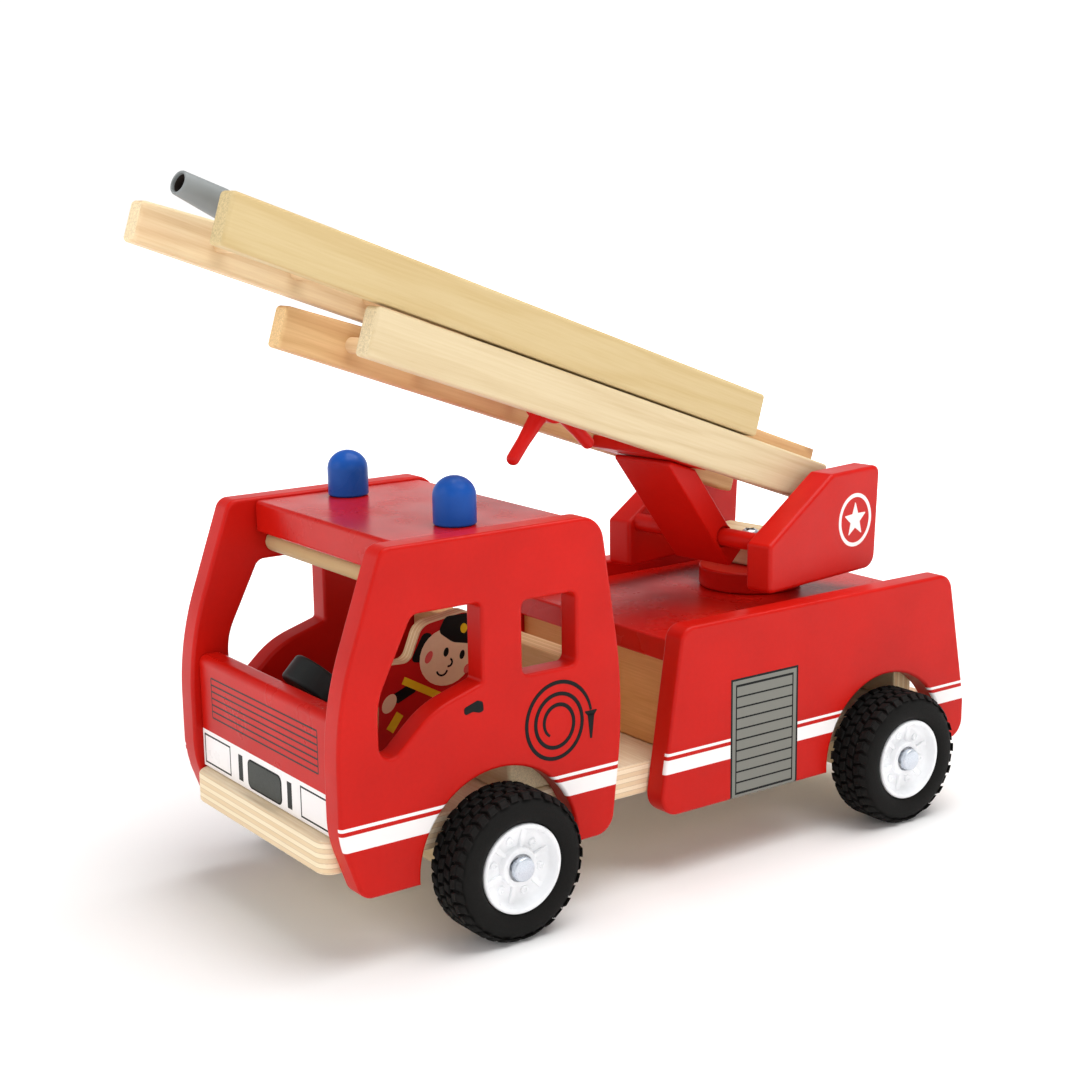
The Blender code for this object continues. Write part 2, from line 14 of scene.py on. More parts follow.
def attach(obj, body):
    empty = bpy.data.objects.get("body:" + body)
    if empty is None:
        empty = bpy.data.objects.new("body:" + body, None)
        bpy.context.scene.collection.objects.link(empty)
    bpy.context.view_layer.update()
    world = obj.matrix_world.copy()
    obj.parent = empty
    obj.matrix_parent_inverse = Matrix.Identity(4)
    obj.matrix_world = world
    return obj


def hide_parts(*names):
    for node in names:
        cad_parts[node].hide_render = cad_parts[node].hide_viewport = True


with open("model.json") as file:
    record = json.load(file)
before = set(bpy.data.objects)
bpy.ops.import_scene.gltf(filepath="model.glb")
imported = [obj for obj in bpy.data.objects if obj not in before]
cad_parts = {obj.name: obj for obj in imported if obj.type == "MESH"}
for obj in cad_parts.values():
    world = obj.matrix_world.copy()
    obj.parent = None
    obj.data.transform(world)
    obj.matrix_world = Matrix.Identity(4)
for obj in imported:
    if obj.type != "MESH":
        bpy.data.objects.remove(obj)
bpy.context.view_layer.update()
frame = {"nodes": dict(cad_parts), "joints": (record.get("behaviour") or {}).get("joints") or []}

MM = 0.001
FRONT_AXLE_Y, REAR_AXLE_Y, AXLE_Z = -99.5, 91.5, 27.0
ARCH_RADIUS = 33.0
PRINT_PROUD = 0.1                    # how far printed ink stands off its board
PANEL_FACE = 60.0                    # outer faces of the side panels, from the middle
STRIPES_FROM = 58.3                  # stripes reach round a panel's rim as far in as this


# -------- spaces of the moving bodies
class Space:
    """The local frame, in millimetres, in which the pieces of one body are made."""

    def __init__(self, body, origin, x_axis=(1, 0, 0), y_axis=(0, 1, 0)):
        x, y = Vector(x_axis), Vector(y_axis)
        turn = Matrix((x, y, x.cross(y))).transposed().to_4x4()
        self.body = body
        self.matrix = Matrix.Translation(Vector(origin)) @ turn
        self.inverse = self.matrix.inverted()

    def limits(self, node):
        """Lowest and highest corner of a CAD node in this space."""
        points = [self.inverse @ vertex.co / MM for vertex in frame["nodes"][node].data.vertices]
        return Vector(map(min, zip(*points))), Vector(map(max, zip(*points)))


JOINTS = {joint["name"]: joint for joint in frame["joints"]}
SIDEWAYS = -Vector(JOINTS["ladder_raise"]["axis"]).normalized()
BACKWARDS = -Vector(JOINTS["ladder_slide"]["axis"]).normalized()
BOOM_ORIGIN = JOINTS["ladder_raise"]["pos_m"]
FRONT_ORIGIN = JOINTS["front_wheels_roll"]["pos_m"]
STEERING_AXIS = Vector(JOINTS["steering_turn"]["axis"])
SHIFT = FRONT_ORIGIN[1] - FRONT_AXLE_Y * MM

VEHICLE = Space("body", (0, SHIFT, 0))
FRONT = Space("front_wheelset", FRONT_ORIGIN)
REAR = Space("rear_wheelset", JOINTS["rear_wheels_roll"]["pos_m"])
STEERING = Space("steering", JOINTS["steering_turn"]["pos_m"], (1, 0, 0),
                 STEERING_AXIS.cross(Vector((1, 0, 0))))
TURRET = Space("turret", JOINTS["turntable_turn"]["pos_m"], SIDEWAYS, Vector((0, 0, 1)).cross(SIDEWAYS))
BOOM = Space("boom", BOOM_ORIGIN, SIDEWAYS, BACKWARDS)
LADDER = Space("upper_ladder", BOOM_ORIGIN, SIDEWAYS, BACKWARDS)
STAR = Space("star", JOINTS["star_wheel_turn"]["pos_m"], SIDEWAYS, BACKWARDS)
NOZZLE_LIFT = radians(5.2)      # nose-up at rest, against the ladder
UPWARDS = SIDEWAYS.cross(BACKWARDS)
NOZZLE = Space("nozzle", JOINTS["nozzle_tilt"]["pos_m"], SIDEWAYS,
               BACKWARDS * cos(NOZZLE_LIFT) - UPWARDS * sin(NOZZLE_LIFT))


# -------- materials
class Shader:
    """A Principled material worked out from object coordinates in millimetres."""

    def __init__(self, name):
        self.material = bpy.data.materials.new(name)
        self.material.use_nodes = True
        self.tree = self.material.node_tree
        self.surface = self.tree.nodes["Principled BSDF"]
        coordinates = self.node("TexCoord")
        self.mm = self.stretch(coordinates.outputs["Object"], (1000.0, 1000.0, 1000.0))
        self.normal = self.split(coordinates.outputs["Normal"])
        self.x, self.y, self.z = self.split(self.mm)

    def node(self, kind):
        return self.tree.nodes.new("ShaderNode" + kind)

    def feed(self, socket, value):
        if isinstance(value, bpy.types.NodeSocket):
            self.tree.links.new(value, socket)
        else:
            socket.default_value = value

    def math(self, operation, *values):
        node = self.node("Math")
        node.operation = operation
        for socket, value in zip(node.inputs, values):
            self.feed(socket, value)
        return node.outputs[0]

    def plus(self, first, second):
        return self.math("ADD", first, second)

    def times(self, first, second):
        return self.math("MULTIPLY", first, second)

    def weighted(self, first, share, second, other_share):
        return self.plus(self.times(first, share), self.times(second, other_share))

    def vector_math(self, operation, vector, numbers=(0.0, 0.0, 0.0)):
        node = self.node("VectorMath")
        node.operation = operation
        self.feed(node.inputs[0], vector)
        self.feed(node.inputs[1], numbers)
        return node

    def stretch(self, vector, factors):
        return self.vector_math("MULTIPLY", vector, factors).outputs[0]

    def drawn_out(self, vector, along, across_factor, along_factor):
        """Coordinates for a figure that runs along the grain."""
        return self.stretch(vector, [along_factor if i == along else across_factor for i in range(3)])

    def split(self, vector):
        node = self.node("SeparateXYZ")
        self.feed(node.inputs[0], vector)
        return node.outputs[0], node.outputs[1], node.outputs[2]

    def texture(self, kind, vector, scale):
        node = self.node(kind)
        self.feed(node.inputs["Vector"], vector)
        self.feed(node.inputs["Scale"], scale)
        return node

    def noise(self, vector, scale, detail=2.0):
        node = self.texture("TexNoise", vector, scale)
        self.feed(node.inputs["Detail"], detail)
        return node.outputs["Fac"]

    def cells(self, vector, scale):
        """Distance to the nearest scattered point, and a random number for its cell."""
        node = self.texture("TexVoronoi", vector, scale)
        return node.outputs["Distance"], self.split(node.outputs["Color"])[0]

    def span(self, value, low, high, start=0.0, end=1.0):
        """Map low to high onto start to end, held at both ends."""
        node = self.node("MapRange")
        self.feed(node.inputs[0], value)
        for socket, number in zip(node.inputs[1:5], (low, high, start, end)):
            self.feed(socket, number)
        return node.outputs[0]

    def mix(self, factor, first, second):
        node = self.node("Mix")
        node.data_type = "RGBA"
        self.feed(node.inputs[0], factor)
        for socket, colour in ((node.inputs[6], first), (node.inputs[7], second)):
            self.feed(socket, colour if isinstance(colour, bpy.types.NodeSocket) else (*colour, 1.0))
        return node.outputs[2]

    def band(self, value, low, high):
        """1 between low and high, 0 outside."""
        return self.math("COMPARE", value, (low + high) / 2, (high - low) / 2)

    def window(self, a, a_limits, b, b_limits):
        return self.times(self.band(a, *a_limits), self.band(b, *b_limits))

    def bump(self, height, depth_mm, strength=1.0):
        node = self.node("Bump")
        for socket, value in (("Distance", depth_mm * MM), ("Strength", strength), ("Height", height)):
            self.feed(node.inputs[socket], value)
        self.surface_value("Normal", node.outputs[0])

    def surface_value(self, socket, value):
        self.feed(self.surface.inputs[socket], value)

    def finish(self, colour, roughness, metallic=0.0, gloss=0.15):
        self.surface_value("Specular IOR Level", gloss)
        self.surface_value("Base Color", colour)
        self.surface_value("Roughness", roughness)
        self.surface_value("Metallic", metallic)
        return self.material


def scaled(colour, factor):
    return tuple(min(1.0, channel * factor) for channel in colour)


RED = (0.54, 0.0075, 0.0035)
INK = (0.005, 0.006, 0.006)
PRINT_WHITE = (0.93, 0.89, 0.88)
SHUTTER_GREY = (0.205, 0.205, 0.180)


def lacquer_colour(shader, colour):
    """Sprayed paint: broad mottling, and a few pinprick chips that show the primer."""
    broad = shader.noise(shader.mm, 0.035, 3.0)
    fine = shader.noise(shader.mm, 0.6, 2.0)
    tone = shader.weighted(broad, 0.75, fine, 0.25)
    paint = shader.mix(shader.span(tone, 0.3, 0.7), scaled(colour, 0.90), scaled(colour, 1.07))
    distance, chance = shader.cells(shader.mm, 0.045)
    spot = shader.math("LESS_THAN", distance, 0.017)
    chip = shader.times(spot, shader.math("GREATER_THAN", chance, 0.72))
    primer = tuple(0.45 + 0.4 * channel for channel in colour)
    return shader.mix(shader.times(chip, 0.75), paint, primer)


def lacquer_surface(shader, roughness):
    """Orange peel, with the board's grain just telegraphing through the paint."""
    peel = shader.noise(shader.mm, 0.75, 2.0)
    grain = shader.noise(shader.stretch(shader.mm, (0.9, 0.05, 0.9)), 1.0, 4.0)
    height = shader.weighted(peel, 0.5, grain, 0.5)
    shader.bump(height, 0.04, 0.42)
    smear = shader.noise(shader.mm, 0.05, 4.0)
    return shader.span(smear, 0.3, 0.7, roughness - 0.05, roughness + 0.07)


def lacquer(name, colour, roughness=0.34):
    shader = Shader(name)
    paint = lacquer_colour(shader, colour)
    return shader.finish(paint, lacquer_surface(shader, roughness))


def outer_part(shader):
    """1 on the outer face of a side panel and on the rim next to it."""
    return shader.math("GREATER_THAN", shader.math("ABSOLUTE", shader.x), STRIPES_FROM)


def striped_lacquer(shader, thin, wide):
    """Red with a thin white stripe over a wide one, which wrap round a side panel's outer edges."""
    paint = lacquer_colour(shader, RED)
    both = shader.math("MAXIMUM", shader.band(shader.z, *thin), shader.band(shader.z, *wide))
    return shader.mix(shader.times(both, outer_part(shader)), paint, PRINT_WHITE)


def cab_panel_paint():
    shader = Shader("red_lacquer_cab_side")
    paint = striped_lacquer(shader, (50.7, 51.9), (43.3, 49.2))
    return shader.finish(paint, lacquer_surface(shader, 0.34))


def bed_panel_paint():
    """Stripes broken by a grey roller shutter with ten slats."""
    shader = Shader("red_lacquer_bed_side")
    front, rear, bottom, top = 6.7, 41.5, 24.0, 72.6
    paint = striped_lacquer(shader, (48.4, 49.5), (41.5, 46.9))
    outside = outer_part(shader)
    for margin, colour in ((0.0, INK), (0.9, SHUTTER_GREY), (2.5, INK), (3.1, SHUTTER_GREY)):
        heights = (bottom + margin * 0.9, top - margin)
        mask = shader.window(shader.y, (front + margin, rear - margin), shader.z, heights)
        paint = shader.mix(shader.times(mask, outside), paint, colour)
    slats, half_line, margin = 10, 0.33, 3.1
    low, high = bottom + 2.8, top - margin
    step = shader.math("PINGPONG", shader.math("SUBTRACT", shader.z, low), (high - low) / slats / 2)
    line = shader.math("LESS_THAN", step, half_line)
    inside = shader.window(shader.y, (front + margin, rear - margin), shader.z, (low, high))
    paint = shader.mix(shader.times(shader.times(line, inside), outside), paint, INK)
    return shader.finish(paint, lacquer_surface(shader, 0.34))


def grille_paint():
    """Front panel: louvre lines over a white band with lamp outlines, two bars and a dark centre."""
    shader = Shader("red_lacquer_grille")
    across = shader.math("ABSOLUTE", shader.x)
    front = shader.math("LESS_THAN", shader.y, -158.6)
    paint = lacquer_colour(shader, RED)

    def ink(colour, x_limits, z_limits, base):
        mask = shader.window(across, x_limits, shader.z, z_limits)
        return shader.mix(shader.times(mask, front), base, colour)

    paint = ink(PRINT_WHITE, (-1.0, 60.0), (40.0, 59.3), paint)
    paint = ink(INK, (26.7, 48.2), (46.2, 57.7), paint)
    paint = ink(PRINT_WHITE, (27.4, 47.5), (46.9, 57.0), paint)
    paint = ink(INK, (17.0, 20.4), (46.8, 56.6), paint)
    lines, first, pitch, reach = 7, 65.4, 2.53, 40.3
    for index in range(lines):
        z = first + pitch * index
        paint = ink(INK, (-1.0, reach), (z - 0.33, z + 0.33), paint)
    last = first + pitch * (lines - 1)
    paint = ink(INK, (reach - 0.3, reach + 0.3), (first, last), paint)
    return shader.finish(paint, lacquer_surface(shader, 0.30))


def wood(name, pale, dark, along=1, seed=0.0, knots=0.0, pinkish=0.0):
    """Sawn softwood: growth rings cut by the board, fine fibres, pores and the odd knot."""
    shader = Shader(name)
    place = shader.vector_math("ADD", shader.mm, (13.7 * seed, 31.1 * seed, 7.9 * seed)).outputs[0]
    parts = shader.split(place)
    others = [index for index in range(3) if index != along]

    def figure(across_factor, along_factor, detail):
        return shader.noise(shader.drawn_out(place, along, across_factor, along_factor), 1.0, detail)

    warp = figure(0.05, 0.0065, 2.0)
    sway = shader.times(warp, 9.0)
    rings = shader.plus(shader.times(parts[others[0]], 0.55), sway)
    rings = shader.plus(rings, shader.times(parts[others[1]], 0.28))
    wave = shader.math("SINE", shader.times(rings, 2.6))
    late = shader.math("POWER", shader.span(wave, -1.0, 1.0), 2.2)
    fibre = figure(1.3, 0.035, 5.0)
    pores = shader.span(figure(4.2, 0.14, 1.0), 0.62, 0.74)
    depth = shader.plus(shader.times(late, 0.42), shader.span(fibre, 0.35, 0.75, 0.0, 0.40))
    depth = shader.plus(depth, shader.times(pores, 0.16))
    colour = shader.mix(depth, pale, dark)
    # A pink-brown cast in patches, used on the right-hand rails as part of their painted shade.
    if pinkish:
        blush = shader.span(figure(0.08, 0.012, 2.0), 0.40, 0.65, 0.0, pinkish)
        colour = shader.mix(blush, colour, (0.62, 0.33, 0.17))
    if knots:
        distance, chance = shader.cells(shader.drawn_out(place, along, 1.0, 0.42), 0.040)
        core = shader.span(distance, 0.03, 0.13, 1.0, 0.0)
        wanted = shader.math("GREATER_THAN", chance, 1.0 - knots)
        colour = shader.mix(shader.times(core, wanted), colour, (0.33, 0.15, 0.06))
    speckle = shader.span(shader.noise(shader.mm, 2.1, 4.0), 0.36, 0.72)
    end_grain = shader.mix(speckle, scaled(pale, 1.14), scaled(pale, 0.80))
    sawn_end = shader.span(shader.math("ABSOLUTE", shader.normal[along]), 0.80, 0.95)
    colour = shader.mix(sawn_end, colour, end_grain)
    height = shader.weighted(fibre, 0.7, late, 0.3)
    shader.bump(height, 0.05, 0.55)
    rough = shader.span(fibre, 0.3, 0.7, 0.44, 0.60)
    return shader.finish(colour, rough)


def plywood(name, thickness_axis, layer, offset, pale=(0.83, 0.66, 0.41), dark=(0.66, 0.45, 0.23),
            along=0):
    """Birch plywood: fine figure on the faces, thin glued layers on the edges."""
    shader = Shader(name)
    level = (shader.x, shader.y, shader.z)[thickness_axis]
    fibre = shader.noise(shader.drawn_out(shader.mm, along, 1.5, 0.045), 1.0, 5.0)
    figure = shader.noise(shader.stretch(shader.mm, (0.03, 0.09, 0.09)), 1.0, 3.0)
    tone = shader.weighted(fibre, 0.6, figure, 0.5)
    colour = shader.mix(shader.span(tone, 0.38, 0.78), pale, dark)
    edge = shader.math("LESS_THAN", shader.math("ABSOLUTE", shader.normal[thickness_axis]), 0.7)
    ripple = shader.times(shader.math("SUBTRACT", fibre, 0.5), 0.35)
    height = shader.plus(shader.math("SUBTRACT", level, offset), ripple)
    fold = shader.math("PINGPONG", height, layer)
    layers = shader.span(fold, layer * 0.42, layer * 0.58)
    from_joint = shader.math("ABSOLUTE", shader.math("SUBTRACT", fold, layer / 2))
    glue = shader.span(from_joint, 0.04, 0.16, 0.55, 0.0)
    cut = shader.mix(layers, scaled(pale, 1.08), scaled(dark, 1.12))
    cut = shader.mix(glue, cut, (0.38, 0.22, 0.10))
    colour = shader.mix(shader.times(edge, 0.72), colour, cut)
    shader.bump(shader.plus(fibre, shader.times(glue, 0.4)), 0.05, 0.5)
    return shader.finish(colour, shader.span(fibre, 0.3, 0.7, 0.46, 0.62))


def moulded(name, colour, roughness, grit=0.9, depth=0.03):
    """Injection-moulded plastic or rubber with a fine skin and slight shade changes."""
    shader = Shader(name)
    broad = shader.noise(shader.mm, 0.09, 3.0)
    fine = shader.noise(shader.mm, grit, 3.0)
    tint = shader.mix(shader.span(broad, 0.3, 0.7), scaled(colour, 0.92), scaled(colour, 1.06))
    shader.bump(fine, depth, 0.7)
    return shader.finish(tint, shader.span(fine, 0.3, 0.7, roughness - 0.05, roughness + 0.08))


def plated_steel():
    shader = Shader("plated_steel")
    scratches = shader.noise(shader.stretch(shader.mm, (0.3, 3.0, 3.0)), 1.0, 4.0)
    tint = shader.mix(shader.span(scratches, 0.3, 0.7), (0.56, 0.61, 0.68), (0.70, 0.74, 0.80))
    shader.bump(scratches, 0.02, 0.4)
    return shader.finish(tint, shader.span(scratches, 0.3, 0.7, 0.26, 0.42), 0.75, 0.5)


def floor_paint():
    """Pale sweep of studio paper that glows a little far from the model."""
    shader = Shader("studio_floor")
    cloud = shader.noise(shader.mm, 0.004, 2.0)
    tint = shader.mix(shader.span(cloud, 0.3, 0.7), (0.91, 0.90, 0.89), (0.93, 0.925, 0.92))
    metres_out = shader.vector_math("LENGTH", shader.stretch(shader.mm, (MM, MM, 0.0)))
    glow = shader.span(metres_out.outputs["Value"], 0.14, 0.75, 0.0, 0.9)
    shader.surface_value("Emission Color", (1.0, 1.0, 1.0, 1.0))
    shader.surface_value("Emission Strength", glow)
    return shader.finish(tint, shader.span(cloud, 0.3, 0.7, 0.65, 0.75))


PALE_PINE = (0.60, 0.465, 0.245)
CREAM_PINE, TAN_PINE = (0.68, 0.555, 0.350), (0.52, 0.37, 0.190)
red_lacquer = lacquer("red_lacquer", RED)
roof_lacquer = lacquer("red_lacquer_roof", RED, 0.24)
red_plastic = moulded("red_plastic", (0.64, 0.012, 0.010), 0.33, 1.4, 0.012)
blue_lacquer = lacquer("blue_lacquer", (0.010, 0.085, 0.40), 0.30)
black_lacquer = lacquer("black_lacquer", (0.016, 0.018, 0.018), 0.42)
white_plastic = moulded("white_plastic", (0.89, 0.90, 0.915), 0.30, 0.8, 0.010)
tyre_rubber = moulded("tyre_rubber", (0.0060, 0.0056, 0.0050), 0.68, 1.6, 0.05)
grey_plastic = moulded("grey_plastic", (0.235, 0.25, 0.25), 0.36, 1.0, 0.012)
# Near-black paint laid in hollows: painted shade down the nozzle's bore and in the screw head's cross recess.
recess_shade_grey = moulded("nozzle_bore", (0.03, 0.022, 0.018), 0.6, 1.0, 0.02)
steel = plated_steel()
ink = moulded("printed_black", INK, 0.50, 2.0, 0.01)
print_white = moulded("printed_white", PRINT_WHITE, 0.36, 2.0, 0.01)
pine = wood("pine_board", CREAM_PINE, TAN_PINE, along=0, seed=3.0)
chassis_ply = plywood("chassis_plywood", 2, 1.76, 32.0, (0.90, 0.77, 0.56), (0.74, 0.56, 0.34))
# The cab's rear wall gets a browner, darker copy of the plywood: painted shade for a board inside the cab.
wall_ply = plywood("wall_plywood", 1, 1.43, -66.2, (0.80, 0.54, 0.27), (0.64, 0.40, 0.17))
figure_ply = plywood("figure_plywood", 0, 1.0, 1.0, along=1)


# -------- outlines
def polar(a, b, radius, angle):
    return a + radius * cos(angle), b + radius * sin(angle)


def corner_arc(before, corner, after, radius):
    """Points that round one corner; a sharp corner returns the corner itself."""
    point = Vector(corner)
    if radius <= 0.0:
        return [point]
    inward, outward = (Vector(before) - point).normalized(), (Vector(after) - point).normalized()
    half = inward.angle(outward) / 2
    centre = point + (inward + outward).normalized() * (radius / sin(half))
    start = point + inward * (radius / tan(half)) - centre
    end = point + outward * (radius / tan(half)) - centre
    sweep = start.angle(end)
    side = 1.0 if start.x * end.y - start.y * end.x > 0.0 else -1.0
    steps = max(3, round(sweep * (5.0 + 0.4 * radius)))
    return [centre + Matrix.Rotation(side * sweep * i / steps, 2) @ start for i in range(steps + 1)]


def rounded(corners):
    """Outline from (a, b, radius) corners, in order around the shape."""
    points = []
    for index, (a, b, radius) in enumerate(corners):
        before, after = corners[index - 1][:2], corners[(index + 1) % len(corners)][:2]
        points.extend(corner_arc(before, (a, b), after, radius))
    return points


def oblong(a0, a1, b0, b1, radius):
    return rounded([(a0, b0, radius), (a1, b0, radius), (a1, b1, radius), (a0, b1, radius)])


def ellipse(a, b, half_a, half_b, tilt=0.0, steps=28):
    turn = Matrix.Rotation(radians(tilt), 2)
    angles = [tau * i / steps for i in range(steps)]
    return [Vector((a, b)) + turn @ Vector((half_a * cos(t), half_b * sin(t))) for t in angles]


def arch(centre_y, low, steps=40):
    """Corners along a wheel arch, from its front foot over the top to its rear foot."""
    drop = asin((AXLE_Z - low) / ARCH_RADIUS)
    angles = [pi + drop - (pi + 2 * drop) * i / steps for i in range(steps + 1)]
    return [(*polar(centre_y, AXLE_Z, ARCH_RADIUS, angle), 0.0) for angle in angles]


def arc(centre_r, centre_s, radius, start, end, steps=6):
    """Profile points on an arc, angles in degrees from the outward direction."""
    angles = [radians(start + (end - start) * i / steps) for i in range(steps + 1)]
    return [polar(centre_r, centre_s, radius, angle) for angle in angles]


# -------- solids
PLACE = {
    "X": lambda a, b, level: (level, a, b),
    "Y": lambda a, b, level: (a, level, b),
    "Z": lambda a, b, level: (a, b, level),
}


def oriented(points, clockwise=False):
    area = sum(a[0] * b[1] - b[0] * a[1] for a, b in zip(points, points[1:] + points[:1]))
    return points if (area < 0.0) == clockwise else points[::-1]


def inset(points, distance):
    """Points moved to the left of their direction of travel."""
    result = []
    for index, point in enumerate(points):
        before = (point - points[index - 1]).normalized()
        after = (points[(index + 1) % len(points)] - point).normalized()
        left, other = Vector((-before.y, before.x)), Vector((-after.y, after.x))
        result.append(point + (left + other) * (distance / (1.0 + left.dot(other))))
    return result


def bridge(shape, lower, upper):
    """Faces between two rings; a ring of one vertex makes a fan."""
    count = max(len(lower), len(upper))
    for i in range(count):
        j = (i + 1) % count
        corners = [lower[i % len(lower)], lower[j % len(lower)], upper[j % len(upper)], upper[i % len(upper)]]
        shape.faces.new(list(dict.fromkeys(corners)))


def board(outline, low, high, axis="X", edge=1.0, holes=(), steps=4, shape=None):
    """Sawn board between low and high along an axis, with every rim rounded over."""
    shape = bmesh.new() if shape is None else shape
    levels = [(0.0, low)]
    if edge > 0.0:
        turns = [pi / 2 * k / steps for k in range(steps + 1)]
        levels = [(edge * (1 - sin(turn)), low + edge * (1 - cos(turn))) for turn in turns]
    levels += [(depth, low + high - level) for depth, level in reversed(levels)]
    rims = ([], [])
    loops = [oriented(outline)] + [oriented(hole, True) for hole in holes]
    for loop in loops:
        rings = []
        for depth, level in levels:
            rings.append([shape.verts.new(PLACE[axis](p[0], p[1], level)) for p in inset(loop, depth)])
        for lower, upper in zip(rings, rings[1:]):
            bridge(shape, lower, upper)
        for rim, ring in ((rims[0], rings[0]), (rims[1], rings[-1])):
            rim.extend(shape.edges.get((a, b)) for a, b in zip(ring, ring[1:] + ring[:1]))
    for rim in rims:
        bmesh.ops.triangle_fill(shape, use_beauty=True, use_dissolve=False, edges=rim)
    return shape


def lathe(profile, axis="X", sides=48, centre=(0.0, 0.0, 0.0), closed=False, turn=None, shape=None):
    """Turn (radius, station) points about an axis; a closed profile makes a ring."""
    shape = bmesh.new() if shape is None else shape
    rings = []
    for radius, station in profile:
        ring = []
        for i in range(sides if radius > 0.0 else 1):
            point = Vector(PLACE[axis](*polar(0.0, 0.0, radius, tau * i / sides), station))
            if turn is not None:
                point = turn @ point
            ring.append(shape.verts.new(point + Vector(centre)))
        rings.append(ring)
    for lower, upper in zip(rings, rings[1:] + rings[:1] if closed else rings[1:]):
        bridge(shape, lower, upper)
    return shape


def rod_profile(radius, low, high, edge):
    lower = [(0.0, low)] + arc(radius - edge, low + edge, edge, -90, 0, 4)
    return lower + arc(radius - edge, high - edge, edge, 0, 90, 4) + [(0.0, high)]


def ribbon(points, widths, low, high):
    """Flat strip of ink along points in the (y, z) plane, between two levels of x."""
    shape, rows = bmesh.new(), []
    for index, point in enumerate(points):
        ahead = points[min(index + 1, len(points) - 1)] - points[max(index - 1, 0)]
        side = Vector((-ahead.y, ahead.x)).normalized() * widths[index] / 2
        corners = [(point + side, low), (point - side, low), (point - side, high), (point + side, high)]
        rows.append([shape.verts.new((level, p.x, p.y)) for p, level in corners])
    for first, second in zip(rows, rows[1:]):
        bridge(shape, first, second)
    shape.faces.new(rows[0])
    shape.faces.new(rows[-1])
    return shape


def add_turned(shape, part, turn):
    """Merge one part into a shape after turning it about the origin."""
    part.verts.index_update()
    copies = [shape.verts.new(turn @ vertex.co) for vertex in part.verts]
    for face in part.faces:
        shape.faces.new([copies[vertex.index] for vertex in face.verts])
    part.free()


def add_object(name, data):
    item = bpy.data.objects.new(name, data)
    bpy.context.scene.collection.objects.link(item)
    return item


def piece(name, shape, space, material, nodes=(), sharp=32.0):
    """Put a finished shape in its body's space, to stand for the named CAD nodes."""
    bmesh.ops.scale(shape, vec=(MM, MM, MM), verts=shape.verts)
    bmesh.ops.recalc_face_normals(shape, faces=shape.faces)
    mesh = bpy.data.meshes.new(name)
    shape.to_mesh(mesh)
    shape.free()
    mesh.shade_smooth()
    mesh.set_sharp_from_angle(angle=radians(sharp))
    mesh.materials.append(material)
    item = add_object(name, mesh)
    item.matrix_world = space.matrix
    item.modifiers.new("normals", "WEIGHTED_NORMAL").keep_sharp = True
    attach(item, space.body)
    if nodes:
        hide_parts(*nodes)


def plank(node, space, material, edge=1.2, holes=()):
    """Rounded board in the limits of its CAD node, sawn across its thinnest direction."""
    low, high = space.limits(node)
    size = high - low
    thin = min(range(3), key=lambda i: size[i])
    a, b = [i for i in range(3) if i != thin]
    outline = oblong(low[a], high[a], low[b], high[b], edge * 1.05)
    shape = board(outline, low[thin], high[thin], "XYZ"[thin], edge, holes)
    piece(node + "_board", shape, space, material, [node])


def rod(node, suffix, space, material, edge=0.4, sides=40, into=0.0):
    """Round bar from side to side in its CAD node's limits, or standing into its neighbours."""
    low, high = space.limits(node)
    middle = (low + high) / 2
    profile = rod_profile((high.z - low.z) / 2, low.x - into, high.x + into, edge)
    shape = lathe(profile, "X", sides, (0.0, middle.y, middle.z))
    piece(node + suffix, shape, space, material, [node])


# -------- cab and bed
def cab_outline():
    front = [(-144.6, 144.0, 5.0), (-163.4, 91.4, 115.0), (-163.4, 47.5, 40.0), (-155.4, 25.0, 6.0)]
    rear = [(-50.2, 25.0, 8.0), (-44.0, 75.0, 183.0), (-54.4, 144.0, 10.0)]
    return rounded(front + arch(FRONT_AXLE_Y, 25.0) + rear)


def quarter_window():
    return rounded([
        (-106.0, 92.0, 1.5), (-106.0, 120.0, 2.0), (-133.2, 120.0, 4.0), (-147.2, 92.6, 25.0),
        (-147.2, 66.9, 4.5), (-126.0, 86.0, 35.0),
    ])


def bed_outline():
    front = [(-17.0, 96.5, 6.0), (-28.2, 24.6, 8.0)]
    rear = [(137.4, 24.6, 8.0), (137.6, 42.0, 20.0), (127.4, 96.5, 7.0)]
    return rounded(front + arch(REAR_AXLE_Y, 24.6) + rear)


def build_side_panels():
    cab_paint, bed_paint = cab_panel_paint(), bed_panel_paint()
    windows = [quarter_window(), oblong(-89.0, -66.0, 91.5, 118.0, 2.5)]
    jobs = (("cab_panel", cab_outline(), windows, cab_paint), ("bed_panel", bed_outline(), [], bed_paint))
    for prefix, outline, holes, paint in jobs:
        for side in ("left", "right"):
            node = prefix + "_" + side
            low, high = VEHICLE.limits(node)
            shape = board(outline, low.x, high.x, "X", 1.4, holes)
            piece(node + "_board", shape, VEHICLE, paint, [node])


def hose_print(low, high):
    """Coiled hose in ink: a spiral that closes in from its nozzle, and the nozzle's tip."""
    centre, turns, steps = Vector((-75.0, 71.5)), 2.62, 150
    first, last, start = 15.2, 5.0, radians(8.0)
    points, widths = [], []
    for i in range(steps + 1):
        part = i / steps
        angle = start + tau * turns * part
        radius = first + (last - first) * part ** 0.92
        points.append(centre + Vector((radius * cos(angle), radius * 1.06 * sin(angle))))
        widths.append(1.45 - 0.5 * max(0.0, part - 0.9) * 10 - 0.4 * max(0.0, 0.05 - part) * 20)
    shape = ribbon(points, widths, low, high)
    tip = points[0]
    collar, cone = (0.2, 3.0, 2.0, 1.5, 0.3), (1.6, 1.5, 10.6, 0.45, 0.0)
    for top, half_top, foot, half_foot, radius in (collar, cone):
        corners = (-half_top, -top), (half_top, -top), (half_foot, -foot), (-half_foot, -foot)
        outline = rounded([(tip.x + across, tip.y + up, radius) for across, up in corners])
        board(outline, low, high, "X", 0.0, shape=shape)
    return shape


